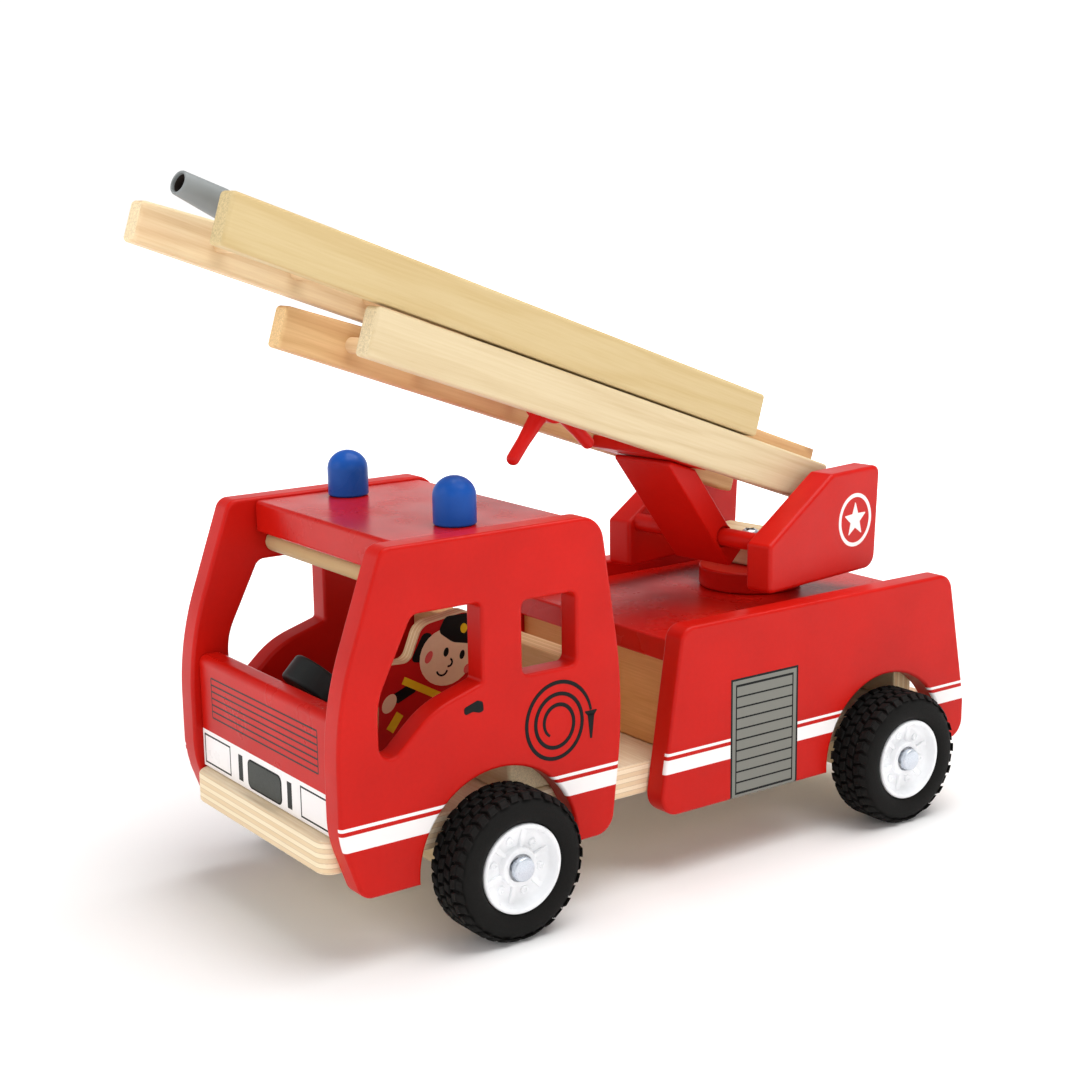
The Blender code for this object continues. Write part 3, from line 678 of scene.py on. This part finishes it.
def build_side_prints():
    grip = rounded([
        (-113.9, 81.6, 1.0), (-110.4, 82.5, 2.0), (-107.9, 81.7, 0.8), (-105.9, 81.9, 1.0),
        (-106.2, 85.4, 1.2), (-108.4, 86.2, 1.2), (-113.9, 84.4, 1.0),
    ])
    for face, name in ((PANEL_FACE, "left"), (-PANEL_FACE, "right")):
        low, high = face - PRINT_PROUD, face + PRINT_PROUD
        piece("hose_print_" + name, hose_print(low, high), VEHICLE, ink)
        handle = board(grip, low, high, "X", 0.0)
        piece("door_handle_print_" + name, handle, VEHICLE, ink)


def build_grille():
    low, high = VEHICLE.limits("grille_panel")
    corners = [(low.y, low.z, 0.5), (high.y, low.z, 0.5), (high.y, high.z, 3.0), (low.y, high.z, 3.0)]
    outline = rounded(corners)
    shape = board(outline, low.x, high.x, "X", 0.4)
    piece("grille_board", shape, VEHICLE, grille_paint(), ["grille_panel"])
    face, back, over_rim = low.y - PRINT_PROUD, low.y + PRINT_PROUD, 0.06
    rim = board(oblong(-12.9, 12.9, 46.0, 57.0, 2.6), face, back, "Y", 0.0)
    piece("grille_centre_rim", rim, VEHICLE, ink)
    shade = moulded("printed_dark_grey", (0.052, 0.056, 0.050), 0.40, 2.0, 0.01)
    pane = board(oblong(-12.2, 12.2, 46.7, 56.3, 2.0), face - over_rim, back, "Y", 0.0)
    piece("grille_centre_print", pane, VEHICLE, shade)


def build_cab_boards():
    plank("roof_board", VEHICLE, roof_lacquer, 1.5)
    dowel_pine = wood("pine_dowel", TAN_PINE, (0.52, 0.33, 0.15), along=0, seed=8.0)
    rod("windscreen_dowel", "_rod", VEHICLE, dowel_pine, 0.3)
    plank("cab_rear_wall", VEHICLE, wall_ply, 1.0)
    plank("bench_seat", VEHICLE, pine, 1.4)


def build_chassis():
    low, high = VEHICLE.limits("chassis_board")
    corners = [(low.x, low.y, 6.0), (high.x, low.y, 6.0), (high.x, high.y, 1.2), (low.x, high.y, 1.2)]
    shape = board(rounded(corners), low.z, high.z, "Z", 1.6)
    piece("chassis_base", shape, VEHICLE, chassis_ply, ["chassis_board"])
    for node in ("front_axle_block", "rear_axle_block"):
        low, high = VEHICLE.limits(node)
        bore = ellipse((low.y + high.y) / 2, AXLE_Z, 3.0, 3.0)
        shape = board(oblong(low.y, high.y, low.z, high.z, 1.0), low.x, high.x, "X", 0.8, [bore])
        piece(node + "_drilled", shape, VEHICLE, pine, [node])


def build_bed():
    low, high = VEHICLE.limits("turntable_spacer")
    middle = (low + high) / 2
    bore, radius, rim = 2.3, (high.x - low.x) / 2, 0.9
    deck = lacquer("red_lacquer_deck", RED, 0.27)
    plank("platform_board", VEHICLE, deck, 1.0, [ellipse(middle.x, middle.y, bore, bore)])
    profile = [(bore, low.z)] + arc(radius - rim, low.z + rim, rim, -90, 0, 4)
    profile += arc(radius - rim, high.z - rim, rim, 0, 90, 4) + [(bore, high.z)]
    shape = lathe(profile, "Z", 72, (middle.x, middle.y, 0.0), closed=True)
    piece("turntable_disc", shape, VEHICLE, red_lacquer, ["turntable_spacer"])
    # The bed's front wall gets a browner, darker copy of the plywood: painted shade for a board that stands
    # in the shade behind the cab.
    front_ply = plywood("bed_front_plywood", 1, 1.43, -12.0, (0.78, 0.47, 0.20), (0.62, 0.34, 0.13))
    plank("bed_front_wall", VEHICLE, front_ply, 0.8)
    plank("bed_rear_wall", VEHICLE, plywood("bed_rear_plywood", 1, 1.43, 106.0), 0.8)


def build_beacons():
    for node in ("beacon_left", "beacon_right"):
        low, high = VEHICLE.limits(node)
        middle = (low + high) / 2
        radius = (high.x - low.x) / 2
        base = VEHICLE.limits("roof_board")[1].z
        profile = [(0.0, low.z), (4.0, low.z), (4.0, base + 0.1), (radius - 0.7, base + 0.1)]
        profile += arc(radius - 0.6, base + 0.9, 0.6, -60, 0, 3)
        squash = 0.92
        spring = high.z - radius * squash
        profile += [(r, spring + (s - spring) * squash) for r, s in arc(0.0, spring, radius, 0, 90, 14)[:-1]]
        profile.append((0.0, high.z))
        shape = lathe(profile, "Z", 56, (middle.x, middle.y, 0.0))
        piece(node + "_dome", shape, VEHICLE, blue_lacquer, [node])


# -------- driver
def figure_outline():
    low, high = VEHICLE.limits("driver_figure")
    seat = VEHICLE.limits("bench_seat")[1].z + 0.3
    return rounded([
        (-119.0, low.z, 2.0), (-89.3, low.z, 0.0), (-89.3, seat, 0.0), (-73.0, seat, 3.0),
        (-71.0, 88.0, 9.0), (-75.0, 103.5, 6.0), (-97.5, 100.5, 7.0), (-103.0, 87.5, 4.0),
        (-112.0, 88.0, 5.0), (-126.6, 94.0, 3.0), (-131.0, 87.0, 3.0), (-117.0, 74.0, 6.0),
    ]), low.x, high.x


def print_layer(name, material, rank, *outlines):
    """Ink shapes on both faces of the driver; a higher rank lies over a lower one."""
    low, high = (corner.x for corner in VEHICLE.limits("driver_figure"))
    step = 0.05
    proud = step + step * rank
    shape = bmesh.new()
    for outline in outlines:
        board(outline, high - step, high + proud, "X", 0.0, shape=shape)
        board(outline, low - proud, low + step, "X", 0.0, shape=shape)
    piece("driver_print_" + name, shape, VEHICLE, material)


def strip(a, b, width, radius=0.2):
    """Rectangle of a given width along the line from a to b."""
    a, b = Vector(a), Vector(b)
    side = Vector((a.y - b.y, b.x - a.x)).normalized() * width / 2
    return rounded([(*corner, radius) for corner in (a + side, b + side, b - side, a - side)])


def bow(centre, radius, start, end, width, steps=10):
    """Thick stroke on an arc, for the smile and the nose."""
    outer = arc(*centre, radius + width / 2, start, end, steps)
    inner = arc(*centre, radius - width / 2, start, end, steps)
    return [Vector(point) for point in outer + inner[::-1]]


def build_driver():
    outline, low, high = figure_outline()
    shape = board(outline, low, high, "X", 0.5)
    piece("driver_board", shape, VEHICLE, figure_ply, ["driver_figure"])
    skin = lacquer("printed_skin", (0.98, 0.72, 0.47), 0.45)
    coat = lacquer("printed_coat", (0.60, 0.010, 0.010), 0.42)
    yellow = lacquer("printed_yellow", (0.95, 0.66, 0.02), 0.42)
    blush = lacquer("printed_blush", (0.82, 0.13, 0.12), 0.45)
    print_layer("coat", coat, 0, inset(oriented(outline), 0.7))
    hair = rounded([(-102.6, 87.0, 1.5), (-96.5, 97.5, 2.5), (-92.0, 96.0, 2.0), (-97.0, 86.0, 2.0)])
    print_layer("hair", ink, 1, hair)
    print_layer("face", skin, 2, ellipse(-87.0, 86.4, 11.6, 10.9))
    hand = rounded([(-130.0, 87.3, 2.6), (-126.6, 92.8, 2.6), (-121.5, 90.3, 2.0), (-125.0, 83.3, 2.0)])
    print_layer("hands", skin, 2, hand, ellipse(-112.0, 73.0, 3.9, 2.6, 52.0))
    sleeve = strip((-109.5, 74.2), (-101.0, 77.6), 4.2, 0.8)
    cuff = strip((-124.0, 86.4), (-120.8, 89.6), 2.0, 0.5)
    print_layer("sleeves", ink, 1, sleeve, cuff)
    bands = strip((-105.8, 80.7), (-90.0, 71.8), 2.9), strip((-107.6, 68.4), (-112.2, 62.6), 3.4)
    print_layer("bands", yellow, 3, *bands)
    hat = rounded([
        (-90.2, 96.4, 2.2), (-84.0, 91.6, 6.0), (-75.0, 89.6, 1.5), (-73.2, 94.0, 2.0),
        (-76.2, 101.8, 3.0), (-87.0, 101.8, 3.0),
    ])
    print_layer("hat", ink, 3, hat)
    print_layer("hat_badge", yellow, 4, ellipse(-79.0, 96.2, 1.5, 1.9))
    cheeks = ellipse(-94.6, 87.6, 1.4, 2.5, -32.0), ellipse(-78.0, 80.4, 1.3, 1.9, -32.0)
    print_layer("cheeks", blush, 3, *cheeks)
    eyes = ellipse(-87.0, 88.3, 1.05, 1.75, -18.0), ellipse(-80.0, 86.2, 1.05, 1.75, -18.0)
    nose, smile = bow((-86.0, 84.2), 1.5, -110, 60, 0.75), bow((-89.0, 82.0), 2.3, 190, 345, 0.75)
    print_layer("features", ink, 4, *eyes, nose, smile)


# -------- steering
def build_steering():
    low, high = STEERING.limits("steering_wheel")
    radius, rim, dish = (high.x - low.x) / 2, 1.4, 0.25
    profile = [(0.0, low.z)] + arc(radius - rim, low.z + rim, rim, -90, 0, 5)
    profile += arc(radius - rim, high.z - rim, rim, 0, 90, 5)
    profile += [(radius - 2.6, high.z), (radius - 3.0, high.z - dish), (0.0, high.z - dish)]
    shape = lathe(profile, "Z", 60)
    piece("steering_wheel_turned", shape, STEERING, black_lacquer, ["steering_wheel"])
    column = Space("body", STEERING.matrix.translation, (1, 0, 0), STEERING.matrix.col[1].xyz)
    low, high = column.limits("steering_column")
    shape = lathe(rod_profile((high.x - low.x) / 2, low.z, high.z, 0.4), "Z", 32)
    column_pine = wood("pine_column", CREAM_PINE, TAN_PINE, along=2, seed=5.0)
    piece("steering_column_rod", shape, column, column_pine, ["steering_column"])


# -------- wheels
def tread_block(shape, side, x, angle, width, length, skew, top, shoulder=0.0):
    """Raised rubber lug: station x across the tyre, angle round it, top its radius."""
    base, lip, draw = 25.2, 0.28, 0.32
    rings = []
    for radius, shrink in ((base, -0.15), (top - lip, 0.0), (top, draw)):
        ring = []
        for u, v in ((-1, -1), (1, -1), (1, 1), (-1, 1)):
            across = u * (width / 2 - shrink)
            lean = skew * u + v * (length / 2 - shrink)
            drop = shoulder * max(0.0, u) if radius > base else 0.0
            around = polar(0.0, 0.0, radius - drop, angle + lean / top)
            ring.append(shape.verts.new((side * (x + across), *around)))
        rings.append(ring)
    for lower, upper in zip(rings, rings[1:]):
        bridge(shape, lower, upper)
    shape.faces.new(rings[0])
    shape.faces.new(rings[-1])


def tyre_shape(side):
    """Rubber ring with a soft sidewall, and staggered rows of tread lugs."""
    inner_x, outer_x, inner_r = 53.2, 73.9, 16.35
    middle = (inner_x + outer_x) / 2
    half = (outer_x - inner_x) / 2
    wall = [(inner_r, half - 1.7), (17.2, half - 0.9), (18.4, half - 0.25), (20.2, half), (22.4, half - 0.15),
            (24.0, half - 0.75), (25.1, half - 1.9), (25.5, half - 3.4)]
    profile = [(r, middle + s) for r, s in wall] + [(r, middle - s) for r, s in reversed(wall)]
    shape = lathe([(r, side * s) for r, s in profile], "X", 96, closed=True)
    count, top, shoulder_top = 34, 27.0, 26.75
    pitch = tau / count
    rows = ((-5.7, 0.5, 0.55), (-1.9, 0.0, -0.45), (1.9, 0.5, 0.45), (5.7, 0.0, -0.55))
    for i in range(count):
        for station, phase, skew in rows:
            tread_block(shape, side, middle + station, pitch * (i + phase), 3.1, 3.6, skew, top)
        station, width = (8.55, 2.6) if i % 2 == 0 else (8.25, 1.9)
        for direction, phase in ((-1, 0.5), (1, 0.0)):
            tread_block(shape, side * direction, direction * middle + station, pitch * (i + phase),
                        width, 3.3, 0.35, shoulder_top, 1.15)
    return shape


def rim_shape(side):
    """Dished wheel centre: rolled lip, six ribs, six bolt bosses and a hub round the axle cap."""
    profile = [(2.75, 55.0), (7.0, 55.0), (8.0, 58.0), (16.2, 57.0), (16.2, 72.6)]
    profile += arc(15.35, 72.55, 0.85, 10, 170, 6)
    profile += [(14.1, 71.6), (13.7, 70.2), (13.0, 69.55), (12.2, 69.3), (11.8, 69.05), (7.9, 68.7)]
    profile += [(7.3, 69.0), (7.0, 70.8)] + arc(6.5, 71.0, 0.5, 0, 90, 3)
    profile += [(5.1, 71.5), (4.9, 71.2), (4.9, 69.0), (2.75, 69.0)]
    shape = lathe([(r, side * s) for r, s in profile], "X", 72, closed=True)
    ribs, phase = 6, 0.3
    low, high = sorted((side * 68.2, side * 69.9))
    outline = rounded([(6.8, -0.75, 0.0), (13.6, -1.25, 0.5), (13.6, 1.25, 0.5), (6.8, 0.75, 0.0)])
    boss = [(0.0, 68.3), (1.55, 68.3), (1.5, 69.55), (1.15, 69.8), (0.75, 69.8), (0.6, 69.45), (0.0, 69.4)]
    for i in range(ribs):
        turn = Matrix.Rotation(tau * i / ribs + phase, 3, "X")
        add_turned(shape, board(outline, low, high, "X", 0.35), turn)
        stud = lathe([(r, side * s) for r, s in boss], "X", 20, (0.0, 9.9, 0.0))
        add_turned(shape, stud, Matrix.Rotation(tau * (i + 0.5) / ribs + phase, 3, "X"))
    return shape


def build_wheels():
    for prefix, space in (("front", FRONT), ("rear", REAR)):
        for side, name in ((1, "left"), (-1, "right")):
            tyre, rim = prefix + "_tyre_" + name, prefix + "_rim_" + name
            piece(tyre + "_treaded", tyre_shape(side), space, tyre_rubber, [tyre], 40.0)
            piece(rim + "_dished", rim_shape(side), space, white_plastic, [rim])
        seat, end = 71.9, 74.9
        cap = [(2.5, seat), (4.2, seat), (4.35, seat + 0.3), (4.35, seat + 1.3)]
        cap += arc(3.35, seat + 1.45, 1.0, 0, 75, 5) + [(1.6, end - 0.12), (0.0, end)]
        axle = lathe([(r, -s) for r, s in reversed(cap)] + cap, "X", 48)
        piece(prefix + "_axle_capped", axle, space, steel, [prefix + "_axle"])


# -------- turntable
def plate_outline():
    return rounded([
        (-41.1, 99.2, 2.2), (-41.1, 118.3, 2.2), (-1.1, 141.7, 2.4), (31.0, 141.7, 3.4), (28.5, 99.2, 6.0),
    ])


def star_outline(a, b, reach, depth):
    radii = [reach, depth] * 5
    return rounded([(*polar(a, b, r, radians(90 + 36 * i)), 0.25) for i, r in enumerate(radii)])


def build_badge(face, name):
    """Plain round badge: a white ring round a five-pointed star."""
    low, high = face - PRINT_PROUD, face + PRINT_PROUD
    a, b = 14.0, 121.0
    rim, opening = (ellipse(a, b, radius, radius, steps=72) for radius in (11.0, 9.4))
    shape = board(rim, low, high, "X", 0.0, [opening])
    board(star_outline(a, b, 7.6, 3.2), low, high, "X", 0.0, shape=shape)
    piece("badge_print_" + name, shape, TURRET, print_white)


def build_turret():
    for name in ("left", "right"):
        node = "turret_plate_" + name
        low, high = TURRET.limits(node)
        shape = board(plate_outline(), low.x, high.x, "X", 1.6)
        piece(node + "_board", shape, TURRET, red_lacquer, [node])
        build_badge(high.x if name == "left" else low.x, name)
    rod("pivot_dowel", "_rod", TURRET, red_lacquer)
    plank("turret_block", TURRET, pine, 1.2)
    build_pivot_screw()


def build_pivot_screw():
    """Pan head with a cross-shaped recess, drawn as a dark cross of painted shade, over a flat washer."""
    low, high = TURRET.limits("pivot_screw")
    washer_low, washer_high = TURRET.limits("pivot_washer")
    seat = washer_high.z + 0.1
    profile = [(0.0, low.z), (1.9, low.z + 1.5), (1.9, seat), (3.9, seat), (3.85, seat + 0.7)]
    profile += [(3.5, seat + 1.35), (2.6, high.z - 0.25), (0.0, high.z - 0.05)]
    piece("pivot_screw_head", lathe(profile, "Z", 40), TURRET, steel, ["pivot_screw"])
    # The recess is not cut: a dark cross sunk into the head's top is painted shade.
    shape = bmesh.new()
    for outline in (oblong(-2.3, 2.3, -0.38, 0.38, 0.15), oblong(-0.38, 0.38, -2.3, 2.3, 0.15)):
        board(outline, high.z - 0.6, high.z + 0.01, "Z", 0.0, shape=shape)
    piece("pivot_screw_cross", shape, TURRET, recess_shade_grey)
    ring = [(2.3, washer_low.z), (6.0, washer_low.z), (6.2, washer_low.z + 0.2), (6.2, washer_high.z - 0.25),
            (6.0, washer_high.z), (2.3, washer_high.z)]
    washer = lathe(ring, "Z", 48, closed=True)
    piece("pivot_washer_ring", washer, TURRET, steel, ["pivot_washer"])


# -------- ladder
def build_arm():
    """Slanting board, bored for the cross dowel, with its top sawn to the ladder's slope."""
    slope = radians(32.1)
    half_thick, tail = 5.1, 12.6
    along = Vector((-cos(slope), sin(slope)))
    across = Vector((sin(slope), cos(slope)))
    low, high = BOOM.limits("boom_arm")
    feet = [across * half - along * tail for half in (-half_thick, half_thick)]
    crowns = [foot + along * ((high.z - foot.y) / along.y) for foot in feet]
    outline = rounded([(*point, 1.2) for point in (feet[0], crowns[0], crowns[1], feet[1])])
    shape = board(outline, low.x, high.x, "X", 0.9, [ellipse(0.0, 0.0, 3.95, 3.95, steps=36)], 3)
    piece("boom_arm_board", shape, BOOM, red_lacquer, ["boom_arm"])


def build_ladders():
    # Each rail's tone is partly the board's own and partly painted light and shade, set to how that rail is
    # lit: the right-hand rails are pinker copies of the pine, the lower one darker as painted shade, the
    # upper one lighter as painted light.
    tones = {
        "lower_rail_left": wood("pine_lower_left", CREAM_PINE, (0.57, 0.43, 0.24), seed=1.0, knots=0.12),
        "lower_rail_right": wood("pine_lower_right", (0.74, 0.50, 0.25), (0.52, 0.28, 0.11), seed=2.0,
                                 knots=0.35, pinkish=0.35),
        "upper_rail_left": wood("pine_upper_left", PALE_PINE, (0.52, 0.37, 0.165), seed=4.0, knots=0.12),
        "upper_rail_right": wood("pine_upper_right", (0.82, 0.65, 0.41), (0.62, 0.41, 0.21), seed=6.0,
                                 knots=0.35, pinkish=0.22),
    }
    drops = {"lower_rail_right": 2.4, "upper_rail_right": 3.6}    # how far a rail's nose is lowered
    for side in ("left", "right"):
        for prefix, space in (("lower", BOOM), ("upper", LADDER)):
            node = prefix + "_rail_" + side
            low, high = space.limits(node)
            outline = rounded([
                (low.y, low.z, 1.4), (high.y, low.z, 1.4), (high.y, high.z, 1.4),
                (low.y + 55.0, high.z, 20.0), (low.y, high.z - drops.get(node, 0.2), 1.8),
            ])
            shape = board(outline, low.x, high.x, "X", 1.3)
            piece(node + "_board", shape, space, tones[node], [node])
        # The guide strips take the lower right rail's tone, with its painted shade.
        plank("guide_strip_" + side, BOOM, tones["lower_rail_right"], 0.5)
    dowels = wood("pine_rungs", (0.82, 0.62, 0.38), (0.62, 0.40, 0.20), along=0, seed=7.0)
    for node in frame["nodes"]:
        if "_rung_" in node:
            space = BOOM if node.startswith("lower") else LADDER
            rod(node, "_dowel", space, dowels, sides=32, into=3.5)
    plank("ladder_crosspiece", BOOM, red_lacquer, 0.9)


def build_star():
    """Hub with four tapered, round-ended fingers, and the shaft it turns with."""
    bore, hub_radius, half_hub, rim = 2.6, 9.0, 5.0, 1.2
    profile = [(bore, -half_hub)] + arc(hub_radius - rim, rim - half_hub, rim, -90, 0, 4)
    profile += arc(hub_radius - rim, half_hub - rim, rim, 0, 90, 4) + [(bore, half_hub)]
    shape = lathe(profile, "X", 48, closed=True)
    reach, lean, tip, root = 30.0, radians(-24.0), 2.5, 3.5
    finger = [(0.0, 4.6), (root, 4.6), (root, hub_radius - 0.5), (root - 0.35, hub_radius + 1.2)]
    finger += [(tip, reach - 10.0)] + arc(0.0, reach - tip, tip, 0, 90, 7)[:-1] + [(0.0, reach)]
    for i in range(4):
        turn = Matrix.Rotation(lean + tau * i / 4, 3, "X")
        lathe(finger, "Z", 24, turn=turn, shape=shape)
    piece("star_wheel_moulding", shape, STAR, red_plastic, ["star_wheel"])
    low, high = STAR.limits("star_shaft")
    half_shaft = BOOM.limits("lower_rail_left")[0].x - 0.1
    shaft = lathe(rod_profile((high.z - low.z) / 2, -half_shaft, half_shaft, 0.4), "X", 32)
    piece("star_shaft_rod", shaft, STAR, red_plastic, ["star_shaft"])


def build_nozzle():
    """Flared barrel with a thin lip, a slim neck over its clip, and a ribbed knob behind."""
    rise, mouth, shoulder, knob, tail = 6.8, -33.5, -17.0, 13.5, 21.5
    profile = [(0.0, mouth + 14.0), (2.75, mouth + 14.0), (3.0, mouth + 0.5), (3.15, mouth + 0.1)]
    profile += [(3.4, mouth), (3.7, mouth + 0.1), (3.95, mouth + 0.5), (3.97, mouth + 1.0), (4.9, shoulder)]
    profile += arc(4.4, shoulder + 0.3, 0.5, 0, 80, 4) + [(3.4, shoulder + 1.6), (3.4, knob - 0.9)]
    profile += [(5.2, knob - 0.4), (5.7, knob), (6.0, knob + 0.5)]
    for ring in (15.2, 17.2):
        profile += [(6.0, ring), (5.6, ring + 0.4), (5.6, ring + 0.8), (6.0, ring + 1.2)]
    profile += arc(4.8, tail - 1.2, 1.2, 0, 90, 4) + [(0.0, tail)]
    shape = lathe(profile, "Y", 48, (0.0, 0.0, rise))
    inner, outer, opening, steps = 3.3, 5.2, radians(50.0), 24
    clip = []
    for radius, order in ((outer, range(steps + 1)), (inner, range(steps, -1, -1))):
        for i in order:
            angle = -pi / 2 + opening + (tau - 2 * opening) * i / steps
            clip.append(Vector(polar(0.0, 0.0, radius, angle)))
    board(clip, -4.0, 4.0, "X", 0.4, steps=2, shape=shape)
    piece("water_nozzle_barrel", shape, NOZZLE, grey_plastic, ["water_nozzle"])
    # A dark cup just inside the barrel's mouth stands for the shade down the bore: painted shade.
    lining = [(0.0, mouth + 13.0), (2.62, mouth + 13.0), (2.93, mouth + 1.0), (2.85, mouth + 1.0),
              (2.5, mouth + 12.9), (0.0, mouth + 12.9)]
    shadow = lathe(lining, "Y", 40, (0.0, 0.0, rise))
    piece("water_nozzle_bore", shadow, NOZZLE, recess_shade_grey)


# -------- studio
def add_camera():
    azimuth, elevation, roll = (radians(angle) for angle in (54.52, 11.756, -0.80))
    right = Vector((cos(azimuth), sin(azimuth), 0.0))
    level_ahead = Vector((-sin(azimuth), cos(azimuth), 0.0))
    forward = level_ahead * cos(elevation) - Vector((0.0, 0.0, sin(elevation)))
    up = right.cross(forward)
    level = right * cos(roll) + up * sin(roll)
    upright = up * cos(roll) - right * sin(roll)
    data = bpy.data.cameras.new("camera")
    data.sensor_width, data.lens, data.clip_start = 36.0, 60.9, 0.01
    camera = add_object("camera", data)
    place = Matrix((level, upright, -forward)).transposed().to_4x4()
    camera.matrix_world = Matrix.Translation((0.5601, SHIFT - 0.4379, 0.2665)) @ place
    bpy.context.scene.camera = camera


def add_area(name, position, target, size, energy):
    data = bpy.data.lights.new(name, "AREA")
    data.shape = "RECTANGLE"
    data.size, data.size_y = size
    data.energy = energy
    aim = Vector(target) - Vector(position)
    turn = aim.to_track_quat("-Z", "Y").to_matrix().to_4x4()
    add_object(name, data).matrix_world = Matrix.Translation(position) @ turn


def add_studio():
    shape = bmesh.new()
    bmesh.ops.create_grid(shape, x_segments=8, y_segments=8, size=6.0)
    mesh = bpy.data.meshes.new("floor")
    shape.to_mesh(mesh)
    shape.free()
    mesh.materials.append(floor_paint())
    add_object("floor", mesh)
    add_sky()
    bpy.context.scene.view_settings.view_transform = "Standard"
    target = (0.0, 0.0, 0.08)
    add_area("overhead_softbox", (0.18, 0.26, 1.22), target, (1.25, 1.05), 17.0)
    add_area("front_softbox", (-0.25, -1.25, 0.75), target, (1.0, 0.8), 4.4)
    add_area("side_softbox", (1.30, -0.25, 0.70), target, (0.9, 0.7), 2.6)


def add_sky():
    """White near the horizon and dimmer overhead, where the softboxes do the work."""
    world = bpy.data.worlds.new("studio")
    world.use_nodes = True
    nodes, links = world.node_tree.nodes, world.node_tree.links
    coordinates = nodes.new("ShaderNodeTexCoord")
    split = nodes.new("ShaderNodeSeparateXYZ")
    fade = nodes.new("ShaderNodeMapRange")
    for socket, number in zip(fade.inputs[1:5], (0.15, 0.42, 1.03, 0.27)):
        socket.default_value = number
    links.new(coordinates.outputs["Generated"], split.inputs[0])
    links.new(split.outputs["Z"], fade.inputs[0])
    links.new(fade.outputs[0], nodes["Background"].inputs["Strength"])
    nodes["Background"].inputs["Color"].default_value = (1.0, 1.0, 1.0, 1.0)
    bpy.context.scene.world = world


add_camera()
build_chassis()
build_side_panels()
build_side_prints()
build_grille()
build_cab_boards()
build_bed()
build_beacons()
build_driver()
build_steering()
build_wheels()
build_turret()
build_arm()
build_ladders()
build_star()
build_nozzle()
add_studio()
